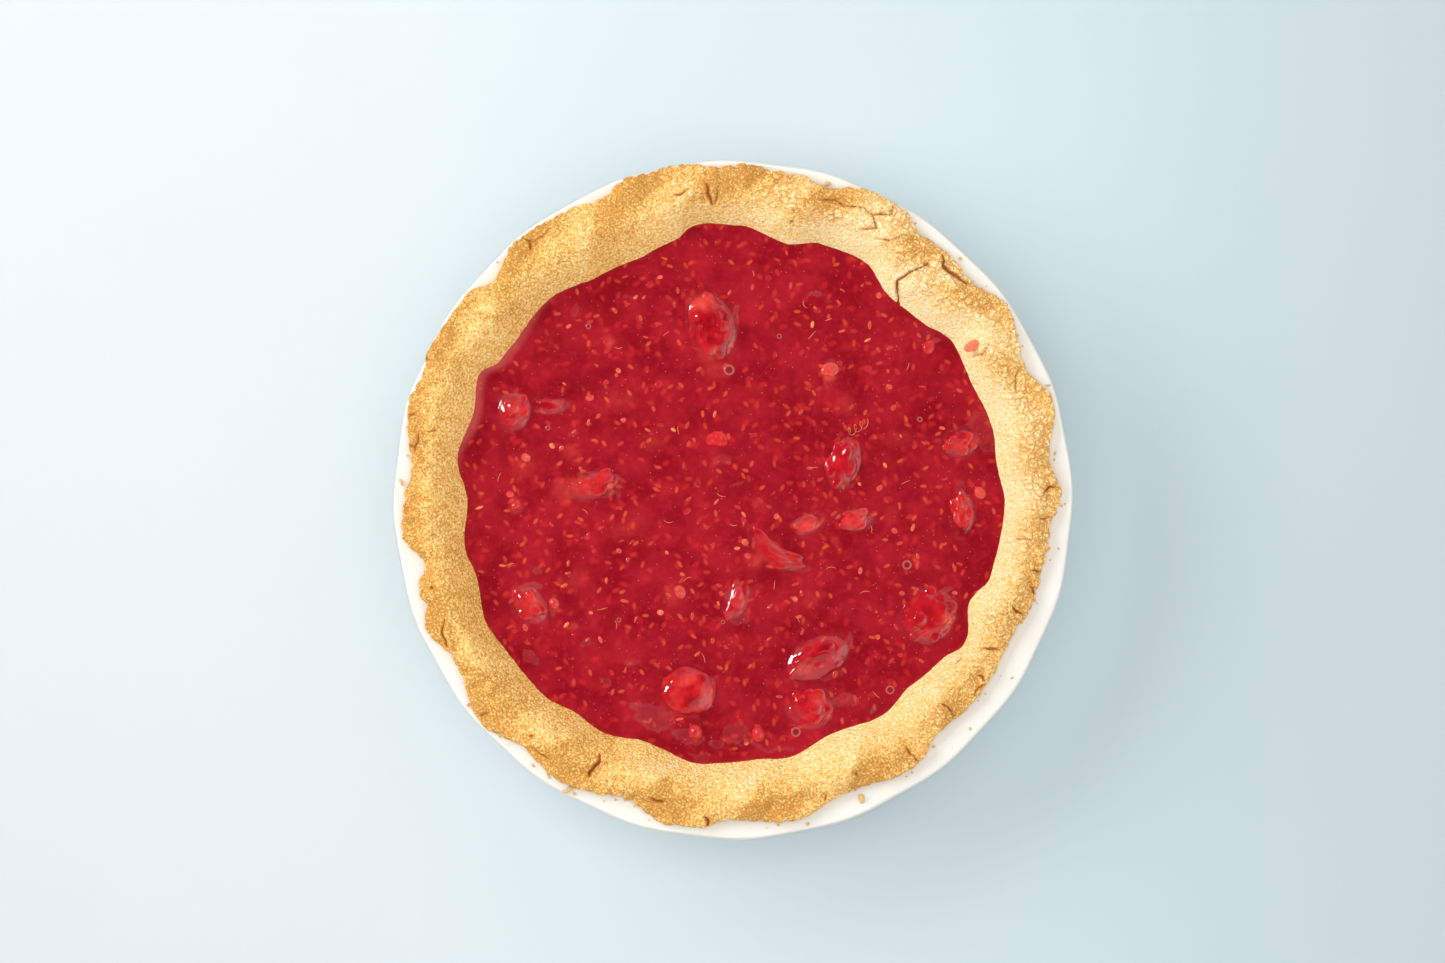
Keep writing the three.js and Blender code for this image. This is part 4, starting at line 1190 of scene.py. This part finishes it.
def gelFinish():
    finish = Finish("gel", IOR=1.5, **flesh(0.1, 0.004, 0.2, 0.15))
    cloud = finish.noise(17, detail=4, roughness=0.6)
    pulp = finish.noise(6.5, detail=3, roughness=0.55, shift=(0.4, 0.2, 0))
    fleshy = finish.noise(2.2, detail=3, roughness=0.6, shift=(0.1, 0.5, 0))
    base = finish.mixed(finish.eased(cloud, 0.34, 0.68), *gel["shades"])
    base = finish.mixed(finish.eased(pulp, 0.5, 0.78) * 0.6, base, gel["pulp"])
    base = finish.mixed(finish.eased(fleshy, 0.48, 0.75) * 0.28, base, gel["pale"])
    base = finish.mixed(finish.eased(1 - fleshy, 0.5, 0.8) * 0.16, base, gel["deep"])
    for *marks, strength, shown in gel["seedMarks"]:
        base = finish.mixed(seedMarks(finish, *marks) * strength, base, shown)
    base = finish.mixed(finish.shade("cover") * 0.55, base, gel["overBerries"])
    base = painted(finish, base, 0.75)
    base = finish.mixed(finish.dots(2.4, 0.05, 0.11, (0.1, 0.7, 0)) * 0.5, base, gel["speck"])
    # painted sheen: a pale band where the gel climbs the pastry on the lamp's side
    base = finish.mixed(finish.shade("sheenBand") * 0.8, base, gel["sheenBesidePastry"])
    base = finish.mixed(finish.shade("rim") * 0.35, base, gel["thinEdge"])
    return finish.done(base, 0.05 + 0.04 * cloud, pulp + 0.3 * fleshy, 0.12, 0.5)


def gelShades(spots, inward, outside, cover):
    start, end, width = gel["sheenBand"]
    starting, ending = gel["bandEnds"]
    around = degreesOf(spots) % 360
    along = ease(around, start, start + starting) * fade(around, end - ending, end)
    shades = {kind: patchAt(kind, spots) for kind in patches}
    shades["cover"] = ease(cover, 0.3, 1.0)
    # painted sheen: an uneven pale outline where the gel climbs each berry
    ring = bell(outside - 0.5, 0.55) * ease(layeredNoise(spots, 5, 425), -0.1, 0.4)
    shades["sheenAndSkin"] = np.maximum(shades["sheenAndSkin"], 0.3 * ring)
    shades["sheenBand"] = along * fade(inward, 0.1 * width * along, 1.3 * width * along + 0.4)
    shades["rim"] = fade(inward, -0.3, 0.9) * (1 - along)
    return shades


def makeGel():
    # The top is a square grid pressed into a round one: its rings keep their share of the way to the pastry.
    steps = gel["grid"]
    line = np.linspace(-1, 1, steps + 1)
    across, up = np.meshgrid(line, line)
    sideways = np.abs(across) > np.abs(up)
    share = np.where(sideways, across, up)
    other = np.where(sideways, up, across)
    turn = np.pi / 4 * other / np.where(share == 0, 1, share)
    turn = np.where(sideways, turn, np.pi / 2 - turn)
    degrees = np.degrees(np.arctan2(share * np.sin(turn), share * np.cos(turn)))
    spots = polar(degrees, np.abs(share) * (gelEdgeAt(degrees) + crust["gelOverlap"]))
    height, *distances = gelTop(spots)
    top = raised(spots, height).reshape(-1, 3)

    # Rings of hidden points hang from the top's rim, down to a point on the axis.
    count = steps + 1
    rim = np.concatenate([
        np.arange(steps), np.arange(steps) * count + steps,
        steps * count + np.arange(steps, 0, -1), np.arange(steps, 0, -1) * count,
    ])
    rimDegrees = degreesOf(top[rim])
    inner = gelEdgeAt(rimDegrees)
    lower = [(inner + out, high) for out, high in gel["sides"]] + [gel["floor"]]
    sides = [raised(polar(rimDegrees, radii), np.full(len(rim), high)) for radii, high in lower]
    loops = [rim] + [len(top) + k * len(rim) + np.arange(len(rim)) for k in range(len(lower))]
    points = np.concatenate([top, *sides, [[0, 0, gel["middle"]]]])
    walls = [np.stack([upper, below, np.roll(below, -1), np.roll(upper, -1)], -1)
             for upper, below in zip(loops[:-1], loops[1:])]
    bottom = np.stack([np.full(len(rim), len(points) - 1), np.roll(loops[-1], -1), loops[-1]], -1)
    faces = np.concatenate([squareQuads(steps), *walls]).tolist() + bottom.tolist()
    shades = {name: np.concatenate([values.ravel(), np.zeros(len(points) - len(top))])
              for name, values in gelShades(spots, *distances).items()}
    addPiece("raspberry_gel", points, faces, gelFinish(), ["filling"], shades)


makeGel()
print("gel made")


# Seeds, scraps of pulp, fibres, loose drupelets and bubbles

scattered = {
    "within": 102,                     # farthest from the axis, mm
    "draws": 6,                        # how many places are drawn for each one kept
    "fromPastry": 2.5,
    "usual": 0.5,                      # the share kept, and how far noise changes it: reach, size, seed
    "crowd": (0.8, 30, 431),
    "tilt": 0.08,                      # radians
    "deeper": (0.6, 1.3),
    "jostle": (0.07, 0.9),
}
seeds = {
    "count": 80,
    "long": (1.1, 1.85),               # half length, mm
    "wide": (0.5, 0.82),
    "thick": 0.42,
    "sunk": 0.2,                       # how far the middle lies under the gel's skin
    "clear": 0.6,                      # how far from any berry
    "steps": 3,
    "seed": 41,
    "shades": colours((0.0, 190, 44, 44), (0.45, 210, 66, 50), (0.8, 222, 94, 60), (1.0, 236, 142, 86)),
}
pulpScraps = {
    "count": 60,
    "long": (1.0, 2.0),
    "wide": (0.8, 1.4),
    "thick": 0.5,
    "sunk": 0.32,
    "clear": 1.2,
    "steps": 5,
    "seed": 43,
    "shades": colours((0.0, 180, 24, 38), (0.5, 206, 44, 48), (0.85, 224, 84, 74), (1.0, 246, 134, 98)),
}
fibres = {
    "count": 26,
    "length": (2.6, 5.0),
    "bend": 1.6,                       # radians over its length
    "half": 0.13,                      # half the thickness
    "tips": 0.35,                      # it thins along half a sine, this angle short of a point
    "over": 0.06,
    "clear": 0.5,
    "steps": 10,
    "seed": 47,
    "tone": 1.25,
    # the one that curls like a spring: its start, radians in all, pieces, and along X and Y its advance for
    # each radian and its reach
    "coilAt": (43.6, 25.4),
    "coilTurn": 7 * np.pi,
    "coilPieces": 6,
    "coilAdvance": (0.36, 0.2),
    "coilReach": (0.9, 1.7),
}
looseDrupelets = {
    # place, radius and height over the gel
    "large": [
        (-78.7, 16, 2.3, 1.1), (-82.5, -1.9, 2.6, 1.2), (-14.3, -88.2, 3.2, 2.5), (9.5, -89, 3.4, 2.5),
        (36.9, 49.4, 4.8, 1), (74.4, 58.2, 3.8, 1), (93.9, 2.7, 3, 1.2), (-20.1, -35, 3.2, 1.2),
        (-5.9, 22.4, 7.2, 0.7), (-68, -39.4, 2.8, 1.2),
    ],
    # small ones, half sunk, that only show here
    "small": [
        (-43.7, 49, 1.7, 1.0), (-44.4, 47.4, 1.3, 0.8), (-48.3, 44.8, 1.6, 0.7), (-65, 19.6, 1.6, 0.9),
        (-82.4, 15.6, 1.4, 0.8), (81.7, -45.4, 2.6, 1.6), (72.6, -50.4, 2.1, 1.2), (38.6, -66.2, 1.7, 2.2),
        (4.6, -16.2, 2.0, 1.6), (5.6, -21.4, 1.8, 1.4), (-46.8, 5.4, 2.0, 1.3), (24, -10, 1.8, 1.2),
        (42, -9.2, 1.6, 1.0), (28.6, 57.8, 1.7, 0.5), (-48, 60, 2.2, 0.8), (68.8, 20.4, 1.9, 0.6),
        (85.8, -3.6, 2.0, 1.6), (88, -8.6, 2.4, 1.7), (88.6, 0.2, 1.5, 1.3), (-40.6, 74, 1.5, 0.6),
    ],
    "smallShown": 0.45,                # how much of its height a small one keeps
    "deepest": 3.2,                    # the largest half height
    "width": 0.85,                     # their width against their length
    "turn": 30,                        # degrees for each millimetre along X
    "jostle": (0.2, 2.4, 53),
    "tone": (0.3, 0.85),
    "seed": 51,
}
strayDrupelet = {                      # one that fell on the slope of the pastry
    "at": (32.8, 0.76),                # angle, and place across the rim
    "half": (3.7, 2.0, 1.5),
    "turn": 27,
    "over": 1.1,
    "jostle": (0.15, 1.8, 57),
    "tone": 1.0,
}
bubbles = {
    # place and radius
    "spots": [
        (-1.5, 49.4, 2.2), (59.7, -72.2, 1.8), (66.1, -24.7, 1.9), (23.9, -88.2, 2.0), (71, 30.6, 1.1),
        (-43.4, -45.6, 0.9), (17.6, 62.2, 1.0), (-55, 66, 1.1), (-3.8, -46.4, 0.9), (-70.4, 27.4, 1.0),
    ],
    "height": 0.36,
    "sunk": 0.1,
    # painted reflection: a darker middle and a pale ring stand in for light bent and thrown back by each
    # bubble, with a dark line at its edge
    "shades": (colour(132, 34, 40), colour(192, 88, 86)),
    "edge": colour(150, 24, 34),
    "cloudy": colour(170, 40, 46),
}
roundSteps = 10            # the ball grid of the drupelets and bubbles


def scatteredSpots(rng, count, clear):                 # random places on the gel, clear of the berries
    draws = scattered["draws"] * count
    spots = polar(rng.uniform(0, 360, draws), scattered["within"] * np.sqrt(rng.uniform(0, 1, draws)))
    height, inward, outside = gelTop(spots)[:3]
    crowd = scattered["usual"] + uneven(spots, *scattered["crowd"])
    good = (inward > scattered["fromPastry"]) & (outside > clear) & (rng.uniform(0, 1, draws) < crowd)
    chosen = np.flatnonzero(good)[:count]
    return raised(spots[chosen], height[chosen])


def seedFinish():
    finish = Finish("seed", IOR=1.45)
    grain = finish.noise(0.5)
    base = finish.ramp(finish.shade("tone") + 0.4 * (grain - 0.5), seeds["shades"])
    return finish.done(base, 0.12 + 0.2 * grain, grain, 0.1, 0.5)


def pulpFinish():
    finish = Finish("pulp", IOR=1.45, **flesh(0.2, 0.003, 0.25, 0.2))
    grain = finish.noise(1.3, detail=3)
    base = finish.ramp(finish.shade("tone") + 0.7 * (grain - 0.5), pulpScraps["shades"])
    return finish.done(base, 0.03 + 0.05 * grain, grain, 0.07, 0.5)


def scatterOnGel(name, kind, finish):
    rng = np.random.default_rng(kind["seed"])
    spots = scatteredSpots(rng, kind["count"], kind["clear"])
    count = len(spots)
    halves = np.column_stack([rng.uniform(*kind["long"], count), rng.uniform(*kind["wide"], count),
                              np.full(count, kind["thick"])])
    spots[:, 2] -= kind["sunk"] * rng.uniform(*scattered["deeper"], count)
    points, faces, shape = ballsAt(kind["steps"], spots, halves, rng.uniform(0, 2 * np.pi, count),
                                   rng.normal(0, scattered["tilt"], count))
    points = jostled(points, *scattered["jostle"], kind["seed"])
    tone = np.repeat(rng.uniform(0, 1, count), len(shape))
    addPiece(name, points, faces, finish, (), {"tone": tone})


def coilPaths():           # pieces of one flat coil, each starting where the one before has a step to go
    pieces, steps = fibres["coilPieces"], fibres["steps"]
    turn = np.linspace(0, fibres["coilTurn"], pieces * steps).reshape(pieces, steps)
    turn[1:] -= np.arange(1, pieces)[:, None] * (turn[0, 1] - turn[0, 0])
    circling = np.stack([np.cos(turn), np.sin(turn)], -1) * fibres["coilReach"]
    return turn[..., None] * fibres["coilAdvance"] + circling + fibres["coilAt"]


def makeFibres(finish):
    # Each fibre is a square tube along an arc on the gel, thinning towards its ends.
    rng = np.random.default_rng(fibres["seed"])
    steps, half, bend, tips = [fibres[name] for name in ("steps", "half", "bend", "tips")]
    middles = scatteredSpots(rng, fibres["count"], fibres["clear"])[:, :2]
    length = rng.uniform(*fibres["length"], len(middles))
    bends = rng.uniform(-bend, bend, len(middles))[:, None]
    heading = rng.uniform(0, 2 * np.pi, len(middles))[:, None] + bends * np.linspace(-0.5, 0.5, steps)
    stride = np.stack([np.cos(heading), np.sin(heading)], -1) * (length / steps)[:, None, None]
    paths = middles[:, None] + np.cumsum(stride, axis=1) - stride.sum(1, keepdims=True) / 2
    paths = np.concatenate([paths, coilPaths()])
    ahead = np.gradient(paths, axis=1)
    ahead = ahead / np.linalg.norm(ahead, axis=-1, keepdims=True)
    side = np.stack([-ahead[..., 1], ahead[..., 0]], -1)
    height = gelTop(paths)[0][..., None] + fibres["over"]
    thin = half * np.sin(np.linspace(tips, np.pi - tips, steps))[None, :, None]
    corners = [np.concatenate([paths + over * thin * side, height + up * thin], -1)
               for over, up in [(1, 0), (0, 1), (-1, 0), (0, -1)]]
    points = np.stack(corners, 2).reshape(-1, 3)       # by fibre, step and corner
    first = np.arange(len(paths))[:, None] * steps * 4
    start = first[..., None] + np.arange(steps - 1)[:, None] * 4
    here, beside = start + np.arange(4), start + (np.arange(4) + 1) % 4
    walls = np.stack([here, beside, beside + 4, here + 4], -1).reshape(-1, 4)
    ends = np.concatenate([first + np.arange(3, -1, -1), first + (steps - 1) * 4 + np.arange(4)])
    tone = np.full(len(points), fibres["tone"])
    faces = np.concatenate([walls, ends]).tolist()
    addPiece("raspberry_fibres", points, faces, finish, (), {"tone": tone})


def makeDrupelets(finish):
    large, small = [np.array(looseDrupelets[name], float) for name in ("large", "small")]
    spots, radius = np.split(np.concatenate([large, small])[:, :3], [2], axis=1)
    radius = radius.ravel()
    high = np.minimum(radius, looseDrupelets["deepest"])
    smallHeight = gelTop(small[:, :2])[0] + looseDrupelets["smallShown"] * small[:, 3]
    height = np.concatenate([crust["gelLevel"] + large[:, 3], smallHeight]) - high
    halves = np.column_stack([radius, radius * looseDrupelets["width"], high])
    turns = np.radians(looseDrupelets["turn"] * spots[:, 0])
    points, faces, shape = ballsAt(roundSteps, raised(spots, height), halves, turns)
    points = jostled(points, *looseDrupelets["jostle"])
    rng = np.random.default_rng(looseDrupelets["seed"])
    tone = np.repeat(rng.uniform(*looseDrupelets["tone"], len(spots)), len(shape))
    addPiece("loose_drupelets", points, faces, finish, (), {"tone": tone})


def makeStrayDrupelet(finish):
    degrees, across = [np.array([value]) for value in strayDrupelet["at"]]
    radius, height = crustTop(degrees, across)[:2]
    place = raised(polar(degrees, radius), height + strayDrupelet["over"])
    points, faces = ballsAt(roundSteps, place, np.array([strayDrupelet["half"]]),
                            np.radians(strayDrupelet["turn"]))[:2]
    points = jostled(points, *strayDrupelet["jostle"])
    tone = np.full(len(points), strayDrupelet["tone"])
    addPiece("stray_drupelet", points, faces, finish, (), {"tone": tone})


def bubbleFinish():
    finish = Finish("bubble", IOR=1.5)
    cloud = finish.noise(1.2)
    out = finish.shade("out")          # 0 on top, 1 at the edge
    # painted reflection: darker middle, pale ring and dark edge
    base = finish.mixed(finish.eased(out, 0.45, 0.75), *bubbles["shades"])
    base = finish.mixed(finish.eased(out, 0.88, 1.0), base, bubbles["edge"])
    return finish.done(finish.mixed(cloud * 0.3, base, bubbles["cloudy"]), 0.05 + 0.03 * cloud)


def makeBubbles(finish):
    spots, radius = np.split(np.array(bubbles["spots"], float), [2], axis=1)
    places = raised(spots, gelTop(spots)[0] - bubbles["sunk"])
    points, faces, shape = ballsAt(roundSteps, places, radius * (1, 1, bubbles["height"]))
    out = np.tile(np.hypot(shape[:, 0], shape[:, 1]), len(spots))
    addPiece("bubbles", points, faces, finish, (), {"out": out})


pulpMaterial = pulpFinish()
scatterOnGel("raspberry_seeds", seeds, seedFinish())
scatterOnGel("pulp_scraps", pulpScraps, pulpMaterial)
makeFibres(pulpMaterial)
makeDrupelets(pulpMaterial)
makeStrayDrupelet(pulpMaterial)
makeBubbles(bubbleFinish())
print("seeds, pulp, fibres, drupelets and bubbles made")


# The floor, the lamps and the room

studio = {
    # the floor's colours by their place across it, half a metre added: painted light and shade, lightest just
    # left of the dish, darker towards both sides and bluer to its right
    "floor": colours(
        (0.2, 200, 209, 214), (0.38, 209, 220, 226), (0.63, 201, 219, 226), (0.7, 196, 214, 222),
        (0.8, 195, 209, 216),
    ),
    "floorReach": 6.0,
    # each lamp: direction round and up in degrees, distance, width, height, watts, tint, and whether it shows
    # in the gloss and in the rest
    "lamps": {
        "key": (159, 30, 1.25, 1.2, 0.8, 14.0, (1.0, 0.98, 0.95), False, True),
        "glint": (160, 34, 1.15, 0.24, 0.24, 9.0, (1.0, 0.99, 0.97), True, False),
        "top": (0, 90, 1.7, 1.6, 1.6, 16.6, (1.0, 0.985, 0.96), False, True),
        "sheen": (-25, 32, 2.2, 2.6, 1.0, 10.0, (1.0, 0.99, 0.98), True, False),
    },
    "wall": 0.93,                      # brightness of the room on the right, below its dark ceiling
    "wallLeft": 0.22,
    "leftFrom": (-0.2, 0.6),           # where right turns into left
    "ceilingEdge": 0.8,
    "ceilingLean": (0.12, -0.14),
    "ceilingBlur": 0.03,
    "roomTint": (1.0, 0.985, 0.95, 1.0),
}


def addLamp(name, around, up, distance, width, height, watts, tint, gloss, diffuse):
    around, up = np.radians([around, up])
    place = Vector((np.cos(up) * np.cos(around), np.cos(up) * np.sin(around), np.sin(up))) * distance
    data = bpy.data.lights.new(name, "AREA")
    data.shape = "RECTANGLE"
    data.size, data.size_y = width, height
    data.energy, data.color = watts, tint
    lamp = linked(name, data)
    lamp.location = place
    lamp.rotation_mode = "QUATERNION"
    lamp.rotation_quaternion = (-place).to_track_quat("-Z", "Y")
    lamp.visible_glossy, lamp.visible_diffuse = gloss, diffuse


def makeFloor():
    data = bpy.data.meshes.new("floor")
    far = studio["floorReach"]
    data.from_pydata([(-far, -far, 0), (far, -far, 0), (far, far, 0), (-far, far, 0)], [], [(0, 1, 2, 3)])
    finish = Finish("floor_paper")
    across = finish.node("SeparateXYZ", {0: finish.place()}).named("X")
    # painted light and shade: the floor's colour changes from left to right
    tone = across + 0.5 + 0.04 * (finish.noise(90, detail=3) - 0.5)
    data.materials.append(finish.done(finish.ramp(tone, studio["floor"]), 0.9))
    floor = linked("floor", data)


def makeRoom():            # bright on the right, dimmer on the left, under a dark ceiling with a leaning edge
    world = bpy.data.worlds.new("room")
    scene.world = world
    world.use_nodes = True
    room = Maker(world.node_tree)
    parts = room.node("SeparateXYZ", {0: room.node("TexCoord").named("Generated")})
    x, y, z = [parts.named(axis) for axis in "XYZ"]
    leanX, leanY = studio["ceilingLean"]
    rise = z - leanX * x - leanY * y
    edge, blur = studio["ceilingEdge"], studio["ceilingBlur"]
    left = room.eased(0 - x, *studio["leftFrom"])
    wall = studio["wall"] + (studio["wallLeft"] - studio["wall"]) * left
    background = world.node_tree.nodes["Background"]
    background.inputs["Color"].default_value = studio["roomTint"]
    room.feed(background.inputs["Strength"], room.faded(rise, edge - blur, edge + blur) * wall)


makeFloor()
makeRoom()
for name, settings in studio["lamps"].items():
    addLamp(name, *settings)
scene.view_settings.view_transform = "Standard"
print("studio made")
